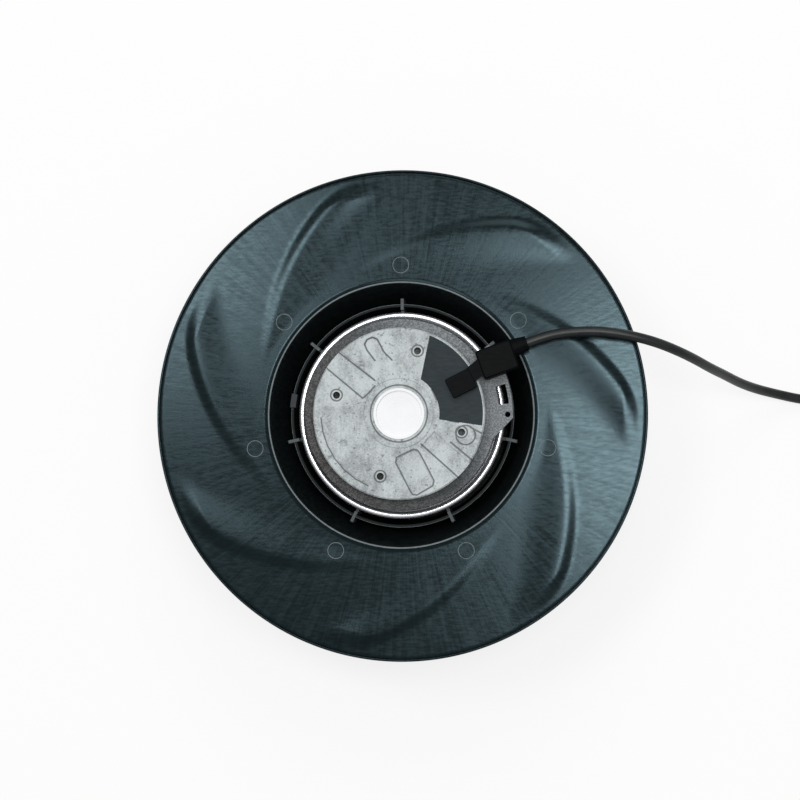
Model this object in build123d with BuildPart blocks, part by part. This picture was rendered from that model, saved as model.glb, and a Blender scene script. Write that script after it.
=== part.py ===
from build123d import *
import os
from math import acos, atan2, cos, degrees, pi, radians, sin, tan

os.makedirs("parts", exist_ok=True)

# The fan stands on its inlet collar. Z is the motor axis, up is towards the mounting face.
# All sizes are in millimetres.

# Impeller back plate and hub
plate_radius = 114.0
plate_top = 76.0
plate_thickness = 2.6
lip_width = 1.2
lip_height = 0.8
lip_skirt = 1.0
recess_radius = 60.9
bead_width = 1.4
bead_height = 0.5
hub_wall = 2.0
hub_bottom = 25.0
hub_collar_height = 8.0
hub_root_chamfer = 2.5
sleeve_can_space = 6.2
sleeve_wall = 1.4
sleeve_rim_gap = 0.2
hub_rib_thickness = 1.4
hub_rib_overhang = 2.8
hub_rib_inset = 1.2
hub_rib_relief = 4.0
hub_rib_height = 24.0
hub_rib_angle = 38.6
ejector_mark_radius = 3.8
ejector_mark_circle = 69.7
ejector_mark_depth = 0.2

# Blades
blade_count = 7
blade_first_angle = 47.4
blade_tip_inset = 2.5
blade_nose_radius = 60.0
blade_nose_thickness = 1.6
blade_belly_thickness = 3.4
blade_tail_thickness = 1.3
camber_radius = 101.0
camber_offset = 50.2
leading_edge_shroud_height = 13.0
leading_edge_hub_height = 62.0

# Moulded crests over the blades on the back plate
crest_outer_radius = 108.5
crest_inner_radius = 71.0
crest_height = 1.2
crest_outer_width = 4.0
crest_inner_width = 11.0
crest_sink = 0.5
crest_tip_share = 0.35
crest_tip_slope = 4.0
crest_end_height = 0.05

# Shroud
collar_bore_radius = 75.0
shroud_wall = 2.2
shroud_shoulder_fillet = 13.0
shroud_cone_start = 18.5
shroud_rim_height = 29.0
shroud_rim_bead = 1.6
collar_lip_width = 1.2
collar_lip_height = 2.0

# Rotor can
can_radius = 46.0
can_wall = 1.0
can_bottom = 20.0
can_corner_fillet = 4.0
can_rim_top = 70.5
can_rim_bead_radius = 1.6
can_boss_radius = 8.5
can_boss_height = 9.0

# Rotor core and cage
air_gap = 0.35
rotor_core_width = 8.4
stack_bottom = 32.0
stack_height = 30.0
cage_bar_count = 24
cage_bar_width = 2.2
cage_bar_depth = 3.2
cage_bar_inset = 1.4
cage_ring_height = 2.6
cage_ring_margin = 0.8

# Stator core, insulators and windings
stator_tube_radius = 13.5
slot_count = 16
slot_inner_radius = 20.0
slot_outer_inset = 2.85
slot_inner_width = 4.0
slot_outer_width = 9.0
slot_mouth_width = 1.8
insulator_height = 1.2
winding_gap = 0.3
winding_head_height = 8.5
winding_head_inner = 17.5
winding_head_inset = 2.25
winding_head_round = 3.5
cutout_length = 11.0
cutout_width = 6.0
cutout_height = 3.0
cutout_round = 1.0
cutout_angle = 205.0

# Shaft and bearings
shaft_radius = 4.0
shaft_shoulder_radius = 5.4
shaft_chamfer = 0.5
shaft_end_land = 1.2
bearing_outer_radius = 11.0
bearing_width = 7.0
bearing_inner_land = 5.7
bearing_outer_land = 9.3
ball_radius = 1.98
ball_count = 7
ball_clearance = 0.15
ball_cage_wall = 0.9
ball_cage_height = 5.0
lower_bearing_bottom = 35.0
upper_bearing_bottom = 73.5
tube_shoulder_radius = 9.8
tube_foot = 1.0
spring_thickness = 0.4
spring_space = 1.4
circlip_thickness = 0.8
circlip_width = 1.9
circlip_groove = 0.4
circlip_gap_angle = 40.0
circlip_play = 0.1

# Stator flange
disc_top = 88.0
disc_thickness = 4.0
disc_edge_fillet = 0.6
step_top = 79.5
step_can_gap = 0.8
step_width = 4.6
step_thickness = 2.5
skirt_wall = 1.5
skirt_bottom = 66.5
cap_radius = 11.7
cap_thickness = 1.0
cap_recess = 1.4
cap_ring_width = 1.2
cap_ring_height = 0.4
boss_ring_radius = 16.0
boss_ring_width = 0.6

# Screw pattern in the mounting face, metric 4 thread cores
screw_pitch_circle = 60.0
screw_core_radius = 1.65
screw_depth = 6.5
screw_boss_radius = 4.0
screw_boss_floor = 1.0
screw_count = 4
screw_first_angle = 73.4
centre_mark_radius = 1.8
centre_mark_circle = 28.8
centre_mark_angle = 207.9
centre_mark_depth = 1.6

# Cast relief in the mounting face
channel_width = 9.8
channel_depth = 0.8
channel_inner_radius = 17.5
channel_angles = (139.7, 318.0)
frame_length = 18.4
frame_width = 10.6
frame_corner = 2.0
frame_depth = 0.5
frame_center = (7.3, -26.7)
frame_angle = -61.3
tongue_start = (-12.5, 31.6)
tongue_end = (-9.0, 26.2)
tongue_width = 6.8
tongue_depth = 0.6
groove_radius = 35.4
groove_width = 0.7
groove_depth = 0.4
groove_start_angle = 182.0
groove_end_angle = 246.0

# Terminal cover, a plastic sector let into the mounting face
cover_inner_radius = 18.8
cover_start_angle = -8.0
cover_inner_end_angle = 57.0
cover_outer_end_angle = 68.0
cover_thickness = 1.8
cover_gap = 0.15
cover_edge = 1.2

# Outrigger of the stator flange that carries the cable gland
nose_reach = 7.8
nose_top = 80.0
nose_thickness = 2.5
nose_start_angle = -2.0
nose_end_angle = 38.0
nose_root_angle = -15.0
nose_window_inset = 1.6
nose_window_width = 4.7
nose_window_start = 5.5
nose_window_end = 16.0
nose_hole_radius = 1.3
nose_hole_inset = 2.4
nose_hole_angle = -0.2
nose_slot_length = 3.2
nose_slot_width = 1.2
nose_slot_inset = 2.35
nose_slot_angle = 22.1

# Cable entry
gland_inset = 0.2
gland_place_angle = 31.4
gland_side_shift = 2.6
gland_angle = 20.0
gland_length = 17.0
gland_width = 13.6
gland_top = 91.0
gland_round = 1.5
nozzle_length = 7.0
nozzle_tip_wall = 1.0
nozzle_root_wall = 2.0
boot_inset = 7.93
boot_place_angle = 25.4
boot_angle = 26.6
boot_length = 12.0
boot_width = 9.6
boot_height = 3.0
boot_round = 0.8
boot_neck_width = 7.0
boot_neck_height = 2.4
boot_neck_gap = 0.3
lead_radius = 0.9
lead_pitch = 2.6
lead_slot_clearance = 0.4

# Cord, its floor coil and its stripped end
cord_radius = 2.3
cord_lead_out = 9.0
cord_lead_in = 12.0
cord_route = [
    (77.5, 37.1, 86.1),
    (90.5, 37.6, 86.4),
    (104.0, 35.9, 85.9),
    (116.5, 32.9, 83.6),
    (127.0, 29.2, 77.6),
    (136.0, 25.6, 68.0),
    (143.5, 22.3, 56.5),
    (150.8, 19.9, 43.2),
    (158.4, 17.0, 30.4),
    (167.0, 14.6, 19.0),
    (177.5, 12.6, 9.6),
    (188.2, 10.5, 4.4),
]
coil_center = (230.0, 36.0)
coil_turn_radii = (27.3, 22.7)
coil_round = 2.2
coil_entry_length = 17.0
coil_entry_angle = 270.0
coil_end_angle = 195.0
stripped_angle = 50.0
stripped_fan = 3.0
conductor_radius = 0.8
conductor_spacing = 1.15
conductor_count = 3
ferrule_radius = 0.6
ferrule_length = 7.0

# Balance clip on the hub sleeve
clip_angle = 172.0
clip_width_angle = 7.0
clip_thickness = 0.6
clip_leg = 6.0

# Sizes that follow from the ones above
sleeve_radius = can_radius + sleeve_can_space
sleeve_top = can_rim_top - 2 * can_rim_bead_radius - sleeve_rim_gap
blade_tip_radius = plate_radius - blade_tip_inset
blade_pitch = 360 / blade_count
plate_underside = plate_top - plate_thickness
hub_collar_radius = can_radius + hub_wall
hub_outer_slope = (recess_radius + hub_wall - hub_collar_radius) / (plate_underside - hub_bottom)
hub_air_line = [
    (plate_radius - lip_width, plate_underside),
    (recess_radius + hub_wall + hub_root_chamfer, plate_underside),
    (recess_radius + hub_wall - hub_outer_slope * hub_root_chamfer, plate_underside - hub_root_chamfer),
    (hub_collar_radius, hub_bottom),
]
leading_edge_hub_radius = hub_collar_radius + hub_outer_slope * (leading_edge_hub_height - hub_bottom)
hub_inner_slope = (recess_radius - can_radius) / (plate_top - hub_bottom)
shroud_inner_line = [
    (collar_bore_radius, 0),
    (collar_bore_radius, shroud_cone_start),
    (plate_radius, shroud_rim_height),
]
stack_top = stack_bottom + stack_height
rotor_core_outer = can_radius - can_wall
rotor_core_inner = rotor_core_outer - rotor_core_width
stator_core_radius = rotor_core_inner - air_gap
slot_outer_radius = stator_core_radius - slot_outer_inset
winding_head_outer = stator_core_radius - winding_head_inset
step_radius = can_radius - can_wall - step_can_gap
disc_radius = step_radius - step_width
nose_radius = step_radius + nose_reach
ball_circle = (bearing_inner_land + bearing_outer_land) / 2
can_floor_top = can_bottom + can_wall
can_boss_top = can_floor_top + can_boss_height
shaft_shoulder_bottom = can_boss_top
upper_bearing_top = upper_bearing_bottom + bearing_width
circlip_bottom = upper_bearing_top + circlip_play
shaft_top = circlip_bottom + circlip_thickness + shaft_end_land
gland_floor = nose_top
cord_axis_height = (gland_floor + gland_top) / 2
cord_diameter = 2 * cord_radius
lead_slot_length = 3 * lead_pitch + lead_slot_clearance
lead_slot_width = 2 * lead_radius + 2 * lead_slot_clearance


def polar(radius, angle):
    """Point at a radius and an angle in degrees."""
    return (radius * cos(radians(angle)), radius * sin(radians(angle)))


gland_center = polar(nose_radius - gland_inset, gland_place_angle)
boot_center = polar(disc_radius - boot_inset, boot_place_angle)
neck = Vector(*gland_center) - Vector(*boot_center)
neck_angle = degrees(atan2(neck.Y, neck.X))
neck_middle = (Vector(*gland_center) + Vector(*boot_center)) * 0.5


def hub_inner_radius(height):
    """Inner radius of the hub wall at a height."""
    return recess_radius - hub_inner_slope * (plate_top - height)


def camber_point(radius, side_offset=0.0):
    """Point beside the first blade's camber arc, where that arc crosses a radius."""
    from_center = degrees(
        acos((radius**2 + camber_offset**2 - camber_radius**2) / (2 * radius * camber_offset))
    )
    at_tip = degrees(
        acos(
            (blade_tip_radius**2 + camber_offset**2 - camber_radius**2)
            / (2 * blade_tip_radius * camber_offset)
        )
    )
    center_angle = blade_first_angle - at_tip
    center = Vector(*polar(camber_offset, center_angle))
    on_arc = Vector(*polar(radius, center_angle + from_center))
    outward = (on_arc - center).normalized()
    return on_arc + outward * side_offset


def camber_frame(radius, height):
    """Plane across the first blade's camber arc: local x points away from the arc's centre."""
    on_arc = camber_point(radius)
    outward = (camber_point(radius, blade_nose_thickness) - on_arc).normalized()
    along = Vector(0, 0, 1).cross(outward)
    return Plane(origin=(on_arc.X, on_arc.Y, height), x_dir=outward, z_dir=along)


def ring_sector(inner, outer, start, end):
    """Face between two radii and two angles."""
    with BuildSketch() as sector:
        with BuildLine():
            CenterArc((0, 0), inner, start, end - start)
            CenterArc((0, 0), outer, start, end - start)
            Line(polar(inner, start), polar(outer, start))
            Line(polar(inner, end), polar(outer, end))
        make_face()
    return sector.sketch


# Impeller back plate: flat ring with a raised rim, a bead round the recess and moulded crests
with BuildPart() as crest:
    crest_steps = 5
    for step in range(crest_steps):
        share = step / (crest_steps - 1)
        radius = crest_outer_radius + (crest_inner_radius - crest_outer_radius) * share
        outer_width = crest_outer_width
        inner_width = crest_outer_width + (crest_inner_width - crest_outer_width) * share
        tip_share = crest_tip_share + (1 - crest_tip_share) * min(1, crest_tip_slope * share)
        height = crest_height * (1 - share**3) * tip_share + crest_end_height
        with BuildSketch(camber_frame(radius, plate_top)):
            with BuildLine():
                Polyline(
                    (-inner_width, 0),
                    (-inner_width, -crest_sink),
                    (outer_width, -crest_sink),
                    (outer_width, 0),
                )
                Spline((outer_width, 0), (0, height), (-inner_width, 0))
            make_face()
    loft()

with BuildPart() as impeller_back_plate:
    with BuildSketch(Plane.XZ):
        with BuildLine():
            Polyline(
                (plate_radius, plate_underside - lip_skirt),
                (plate_radius, plate_top + lip_height),
                (plate_radius - lip_width, plate_top + lip_height),
                (plate_radius - lip_width, plate_top),
                (recess_radius + bead_width, plate_top),
                (recess_radius + bead_width, plate_top + bead_height),
                (recess_radius, plate_top + bead_height),
                (recess_radius, plate_top),
                (hub_inner_radius(plate_underside), plate_underside),
                (plate_radius - lip_width, plate_underside),
                (plate_radius - lip_width, plate_underside - lip_skirt),
                (plate_radius, plate_underside - lip_skirt),
            )
        make_face()
    revolve(axis=Axis.Z)
    with PolarLocations(0, blade_count):
        add(crest.part)
    with BuildSketch(Plane.XY.offset(plate_top)):
        with PolarLocations(ejector_mark_circle, blade_count, start_angle=hub_rib_angle):
            Circle(ejector_mark_radius)
    extrude(amount=-ejector_mark_depth, mode=Mode.SUBTRACT)
impeller_back_plate.part.label = "impeller_back_plate"
export_step(impeller_back_plate.part, "parts/impeller_back_plate.step")

# Impeller hub: conical wall under the recess, collar on the can, sleeve with its ribs
with BuildPart() as impeller_hub:
    with BuildSketch(Plane.XZ):
        with BuildLine():
            Polyline(
                (hub_inner_radius(plate_underside), plate_underside),
                (hub_inner_radius(hub_bottom + hub_collar_height), hub_bottom + hub_collar_height),
                (can_radius, hub_bottom + hub_collar_height),
                (can_radius, hub_bottom),
                hub_air_line[3],
                hub_air_line[2],
                hub_air_line[1],
                (hub_inner_radius(plate_underside), plate_underside),
            )
        make_face()
    revolve(axis=Axis.Z)
    sleeve_foot = plate_top - (recess_radius - sleeve_radius) / hub_inner_slope - hub_wall
    with BuildSketch(Plane.XY.offset(sleeve_foot)):
        Circle(sleeve_radius)
        Circle(sleeve_radius - sleeve_wall, mode=Mode.SUBTRACT)
    extrude(amount=sleeve_top - sleeve_foot)
    with BuildSketch(Plane.XY.offset(sleeve_top - hub_rib_height)):
        with PolarLocations(0, blade_count, start_angle=hub_rib_angle):
            with Locations(((can_radius + sleeve_radius + hub_rib_overhang) / 2, 0)):
                Rectangle(sleeve_radius + hub_rib_overhang - can_radius + hub_wall, hub_rib_thickness)
        Circle(can_radius, mode=Mode.SUBTRACT)
    extrude(amount=hub_rib_height)
    with BuildSketch(Plane.XY.offset(sleeve_top - hub_rib_relief)):
        Circle(sleeve_radius - sleeve_wall - hub_rib_inset)
    extrude(amount=hub_rib_relief, mode=Mode.SUBTRACT)
impeller_hub.part.label = "impeller_hub"
export_step(impeller_hub.part, "parts/impeller_hub.step")

# Shroud: inlet collar that flares into the front cone
with BuildPart() as impeller_shroud:
    with BuildSketch(Plane.XZ) as shroud_section:
        with BuildLine():
            Polyline(
                (collar_bore_radius, 0),
                (collar_bore_radius, shroud_cone_start),
                (plate_radius, shroud_rim_height),
                (plate_radius, shroud_rim_height - shroud_wall - shroud_rim_bead),
                (plate_radius - shroud_wall, shroud_rim_height - shroud_wall - shroud_rim_bead),
                (plate_radius - shroud_wall, shroud_rim_height - shroud_wall - lip_height),
                (collar_bore_radius + shroud_wall, shroud_cone_start - shroud_wall - lip_height),
                (collar_bore_radius + shroud_wall, collar_lip_height),
                (collar_bore_radius + shroud_wall + collar_lip_width, collar_lip_height),
                (collar_bore_radius + shroud_wall + collar_lip_width, 0),
                (collar_bore_radius, 0),
            )
        make_face()
        inner_corner = shroud_section.vertices().sort_by_distance(shroud_inner_line[1])[0]
        fillet(inner_corner, shroud_shoulder_fillet)
        outer_shoulder = (collar_bore_radius + shroud_wall, shroud_cone_start - shroud_wall - lip_height)
        fillet(
            shroud_section.vertices().sort_by_distance(outer_shoulder)[0],
            shroud_shoulder_fillet - shroud_wall,
        )
    revolve(axis=Axis.Z)
impeller_shroud.part.label = "impeller_shroud"
export_step(impeller_shroud.part, "parts/impeller_shroud.step")

# Air passage between shroud and back plate: it trims every blade to its seats
with BuildPart() as air_passage:
    with BuildSketch(Plane.XZ) as passage_section:
        with BuildLine():
            Polyline(
                shroud_inner_line[0],
                shroud_inner_line[1],
                shroud_inner_line[2],
                (plate_radius, plate_underside),
                hub_air_line[1],
                hub_air_line[2],
                hub_air_line[3],
                shroud_inner_line[0],
            )
        make_face()
        inner_corner = passage_section.vertices().sort_by_distance(shroud_inner_line[1])[0]
        fillet(inner_corner, shroud_shoulder_fillet)
        with BuildLine():
            Polyline(
                (0, 0),
                (collar_bore_radius + shroud_wall, 0),
                (collar_bore_radius + shroud_wall, leading_edge_shroud_height),
                (leading_edge_hub_radius, leading_edge_hub_height),
                (0, leading_edge_hub_height),
                (0, 0),
            )
        make_face(mode=Mode.SUBTRACT)
    revolve(axis=Axis.Z)

# Blades: backward curved, crescent section with a round nose, one solid each
with BuildPart() as blade_blank:
    with BuildSketch():
        with BuildLine():
            belly_radius = (blade_tip_radius + blade_nose_radius) / 2
            outer_side = ThreePointArc(
                camber_point(blade_tip_radius, blade_tail_thickness / 2),
                camber_point(belly_radius, blade_belly_thickness / 2),
                camber_point(blade_nose_radius, blade_nose_thickness / 2),
            )
            inner_side = ThreePointArc(
                camber_point(blade_tip_radius, -blade_tail_thickness / 2),
                camber_point(belly_radius, -blade_belly_thickness / 2),
                camber_point(blade_nose_radius, -blade_nose_thickness / 2),
            )
            Line(outer_side @ 0, inner_side @ 0)
            Line(outer_side @ 1, inner_side @ 1)
        make_face()
    extrude(amount=plate_top)
    add(air_passage.part, mode=Mode.INTERSECT)

for number in range(blade_count):
    with BuildPart() as impeller_blade:
        with PolarLocations(0, 1, start_angle=number * blade_pitch):
            add(blade_blank.part)
    impeller_blade.part.label = f"impeller_blade_{number + 1}"
    export_step(impeller_blade.part, f"parts/impeller_blade_{number + 1}.step")

# Rotor can: drawn cup with a rolled rim and a boss for the shaft
with BuildPart() as rotor_can:
    with BuildSketch(Plane.XZ) as can_section:
        with BuildLine():
            Polyline(
                (shaft_radius, can_bottom),
                (can_radius, can_bottom),
                (can_radius, can_rim_top - can_rim_bead_radius),
                (can_radius - can_wall, can_rim_top - can_rim_bead_radius),
                (can_radius - can_wall, can_floor_top),
                (can_boss_radius, can_floor_top),
                (can_boss_radius, can_boss_top),
                (shaft_radius, can_boss_top),
                (shaft_radius, can_bottom),
            )
        make_face()
        fillet(can_section.vertices().sort_by_distance((can_radius, can_bottom))[0], can_corner_fillet)
        fillet(
            can_section.vertices().sort_by_distance((can_radius - can_wall, can_floor_top))[0],
            can_corner_fillet - can_wall,
        )
        with Locations((can_radius - can_wall + can_rim_bead_radius, can_rim_top - can_rim_bead_radius)):
            Circle(can_rim_bead_radius)
    revolve(axis=Axis.Z)
rotor_can.part.label = "rotor_can"
export_step(rotor_can.part, "parts/rotor_can.step")

# Rotor core: laminated ring with slots for the cage bars
cage_bar_circle = rotor_core_inner + cage_bar_inset + cage_bar_depth / 2
with BuildPart() as rotor_core:
    with BuildSketch(Plane.XY.offset(stack_bottom)):
        Circle(rotor_core_outer)
        Circle(rotor_core_inner, mode=Mode.SUBTRACT)
        with PolarLocations(cage_bar_circle, cage_bar_count):
            Rectangle(cage_bar_depth, cage_bar_width, mode=Mode.SUBTRACT)
    extrude(amount=stack_height)
rotor_core.part.label = "rotor_core"
export_step(rotor_core.part, "parts/rotor_core.step")

# Squirrel cage: bars joined by an end ring above and below the core
with BuildPart() as rotor_cage:
    with BuildSketch(Plane.XY.offset(stack_bottom)):
        with PolarLocations(cage_bar_circle, cage_bar_count):
            Rectangle(cage_bar_depth, cage_bar_width)
    extrude(amount=stack_height)
    with BuildSketch(
        Plane.XY.offset(stack_bottom - cage_ring_height),
        Plane.XY.offset(stack_top),
    ):
        Circle(rotor_core_outer - cage_ring_margin)
        Circle(rotor_core_inner + cage_ring_margin, mode=Mode.SUBTRACT)
    extrude(amount=cage_ring_height)
rotor_cage.part.label = "rotor_cage"
export_step(rotor_cage.part, "parts/rotor_cage.step")

# Shaft with a shoulder under the lower bearing and a groove for the circlip
with BuildPart() as rotor_shaft:
    with BuildSketch(Plane.XZ):
        with BuildLine():
            Polyline(
                (0, can_bottom),
                (shaft_radius, can_bottom),
                (shaft_radius, shaft_shoulder_bottom),
                (shaft_shoulder_radius, shaft_shoulder_bottom),
                (shaft_shoulder_radius, lower_bearing_bottom),
                (shaft_radius, lower_bearing_bottom),
                (shaft_radius, circlip_bottom),
                (shaft_radius - circlip_groove, circlip_bottom),
                (shaft_radius - circlip_groove, circlip_bottom + circlip_thickness),
                (shaft_radius, circlip_bottom + circlip_thickness),
                (shaft_radius, shaft_top - shaft_chamfer),
                (shaft_radius - shaft_chamfer, shaft_top),
                (0, shaft_top),
                (0, can_bottom),
            )
        make_face()
    revolve(axis=Axis.Z)
rotor_shaft.part.label = "rotor_shaft"
export_step(rotor_shaft.part, "parts/rotor_shaft.step")

# Circlip: open ring in the shaft groove, above the upper bearing
with BuildPart() as shaft_circlip:
    with BuildSketch(Plane.XY.offset(circlip_bottom)):
        Circle(shaft_radius - circlip_groove + circlip_width)
        Circle(shaft_radius - circlip_groove, mode=Mode.SUBTRACT)
        with BuildLine():
            opening_reach = 2 * shaft_radius
            Polyline(
                (0, 0),
                polar(opening_reach, -circlip_gap_angle / 2),
                polar(opening_reach, circlip_gap_angle / 2),
                (0, 0),
            )
        make_face(mode=Mode.SUBTRACT)
    extrude(amount=circlip_thickness)
shaft_circlip.part.label = "shaft_circlip"
export_step(shaft_circlip.part, "parts/shaft_circlip.step")

# Ball bearings: two grooved rings, the balls and their cage, at both ends of the bearing tube
for position, bearing_bottom in (("lower", lower_bearing_bottom), ("upper", upper_bearing_bottom)):
    groove_center = (ball_circle, bearing_bottom + bearing_width / 2)
    with BuildPart() as inner_ring:
        with BuildSketch(Plane.XZ):
            with BuildLine():
                Polyline(
                    (shaft_radius, bearing_bottom),
                    (bearing_inner_land, bearing_bottom),
                    (bearing_inner_land, bearing_bottom + bearing_width),
                    (shaft_radius, bearing_bottom + bearing_width),
                    (shaft_radius, bearing_bottom),
                )
            make_face()
            with Locations(groove_center):
                Circle(ball_radius + ball_clearance, mode=Mode.SUBTRACT)
        revolve(axis=Axis.Z)
    inner_ring.part.label = f"{position}_bearing_inner_ring"
    export_step(inner_ring.part, f"parts/{position}_bearing_inner_ring.step")

    with BuildPart() as outer_ring:
        with BuildSketch(Plane.XZ):
            with BuildLine():
                Polyline(
                    (bearing_outer_land, bearing_bottom),
                    (bearing_outer_radius, bearing_bottom),
                    (bearing_outer_radius, bearing_bottom + bearing_width),
                    (bearing_outer_land, bearing_bottom + bearing_width),
                    (bearing_outer_land, bearing_bottom),
                )
            make_face()
            with Locations(groove_center):
                Circle(ball_radius + ball_clearance, mode=Mode.SUBTRACT)
        revolve(axis=Axis.Z)
    outer_ring.part.label = f"{position}_bearing_outer_ring"
    export_step(outer_ring.part, f"parts/{position}_bearing_outer_ring.step")

    ball_plane = Plane.XY.offset(bearing_bottom + bearing_width / 2)
    with BuildPart(ball_plane) as balls:
        with PolarLocations(ball_circle, ball_count):
            Sphere(ball_radius)
    balls.part.label = f"{position}_bearing_balls"
    export_step(balls.part, f"parts/{position}_bearing_balls.step")

    with BuildPart(ball_plane) as ball_cage:
        with BuildSketch(ball_plane.offset(-ball_cage_height / 2)):
            Circle(ball_circle + ball_cage_wall / 2)
            Circle(ball_circle - ball_cage_wall / 2, mode=Mode.SUBTRACT)
        extrude(amount=ball_cage_height)
        with PolarLocations(ball_circle, ball_count):
            Cylinder(
                ball_radius + ball_clearance / 2,
                2 * ball_cage_wall,
                rotation=(0, 90, 0),
                mode=Mode.SUBTRACT,
            )
    ball_cage.part.label = f"{position}_bearing_cage"
    export_step(ball_cage.part, f"parts/{position}_bearing_cage.step")

# Preload washer: dished spring between the tube's shoulder and the upper bearing
spring_bottom = upper_bearing_bottom - spring_space
with BuildPart() as bearing_spring:
    with BuildSketch(Plane.XZ):
        with BuildLine():
            Polyline(
                (tube_shoulder_radius, upper_bearing_bottom - spring_thickness),
                (tube_shoulder_radius, upper_bearing_bottom),
                (bearing_outer_radius - ball_clearance, spring_bottom + spring_thickness),
                (bearing_outer_radius - ball_clearance, spring_bottom),
                (tube_shoulder_radius, upper_bearing_bottom - spring_thickness),
            )
        make_face()
    revolve(axis=Axis.Z)
bearing_spring.part.label = "bearing_spring"
export_step(bearing_spring.part, "parts/bearing_spring.step")


def cover_outline(gap):
    """Outline of the terminal cover, larger all round by a gap."""
    inner = cover_inner_radius - gap
    outer = disc_radius - cover_edge + gap
    turn = degrees(gap / cover_inner_radius)
    start = cover_start_angle - turn
    with BuildSketch() as outline:
        with BuildLine():
            inner_arc = CenterArc((0, 0), inner, start, cover_inner_end_angle + turn - start)
            outer_arc = CenterArc((0, 0), outer, start, cover_outer_end_angle + turn - start)
            Line(inner_arc @ 0, outer_arc @ 0)
            Line(inner_arc @ 1, outer_arc @ 1)
        make_face()
    return outline.sketch


def winding_slot(gap):
    """Outline of one stator slot along +X, smaller all round by a gap."""
    inner = slot_inner_radius + gap
    outer = slot_outer_radius - gap
    with BuildSketch() as slot:
        with BuildLine():
            Polyline(
                (inner, -slot_inner_width / 2 + gap),
                (outer, -slot_outer_width / 2 + gap),
                (outer, slot_outer_width / 2 - gap),
                (inner, slot_inner_width / 2 - gap),
                (inner, -slot_inner_width / 2 + gap),
            )
        make_face()
    return slot.sketch


# Stator core: laminations with open-mouthed slots
with BuildSketch() as open_slot:
    add(winding_slot(0))
    with Locations(((slot_outer_radius + stator_core_radius) / 2, 0)):
        Rectangle(2 * (stator_core_radius - slot_outer_radius), slot_mouth_width)

with BuildPart() as stator_core:
    with BuildSketch(Plane.XY.offset(stack_bottom)):
        Circle(stator_core_radius)
        Circle(stator_tube_radius, mode=Mode.SUBTRACT)
        with PolarLocations(0, slot_count):
            add(open_slot.sketch, mode=Mode.SUBTRACT)
    extrude(amount=stack_height)
stator_core.part.label = "stator_core"
export_step(stator_core.part, "parts/stator_core.step")

# End insulators: slotted plastic discs on both faces of the core
for position, insulator_bottom in (("lower", stack_bottom - insulator_height), ("upper", stack_top)):
    with BuildPart() as end_insulator:
        with BuildSketch(Plane.XY.offset(insulator_bottom)):
            Circle(stator_core_radius - insulator_height)
            Circle(stator_tube_radius, mode=Mode.SUBTRACT)
            with PolarLocations(0, slot_count):
                add(open_slot.sketch, mode=Mode.SUBTRACT)
        extrude(amount=insulator_height)
    end_insulator.part.label = f"{position}_end_insulator"
    export_step(end_insulator.part, f"parts/{position}_end_insulator.step")

# Windings: wire bundles in the slots, joined by a rounded head at both ends
with BuildPart() as winding_coils:
    with BuildSketch(Plane.XY.offset(stack_bottom - insulator_height)):
        with PolarLocations(0, slot_count):
            add(winding_slot(winding_gap))
    extrude(amount=stack_height + 2 * insulator_height)
    with BuildSketch(Plane.XZ) as head_sections:
        head_middle = (winding_head_inner + winding_head_outer) / 2
        lower_head = stack_bottom - insulator_height - winding_head_height / 2
        upper_head = stack_top + insulator_height + winding_head_height / 2
        with Locations((head_middle, lower_head), (head_middle, upper_head)):
            RectangleRounded(
                winding_head_outer - winding_head_inner, winding_head_height, winding_head_round
            )
    revolve(axis=Axis.Z)
winding_coils.part.label = "winding_coils"
export_step(winding_coils.part, "parts/winding_coils.step")
winding_top = stack_top + insulator_height + winding_head_height

# Thermal cut-out: small capsule on the upper winding head
with BuildPart() as thermal_cutout:
    with BuildSketch(Plane.XY.offset(winding_top)):
        with Locations(Location((*polar(head_middle, cutout_angle), 0), (0, 0, cutout_angle + 90))):
            RectangleRounded(cutout_length, cutout_width, cutout_round)
    extrude(amount=cutout_height)
    fillet(thermal_cutout.faces().sort_by(Axis.Z)[-1].edges(), cutout_round)
thermal_cutout.part.label = "thermal_cutout"
export_step(thermal_cutout.part, "parts/thermal_cutout.step")

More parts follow.
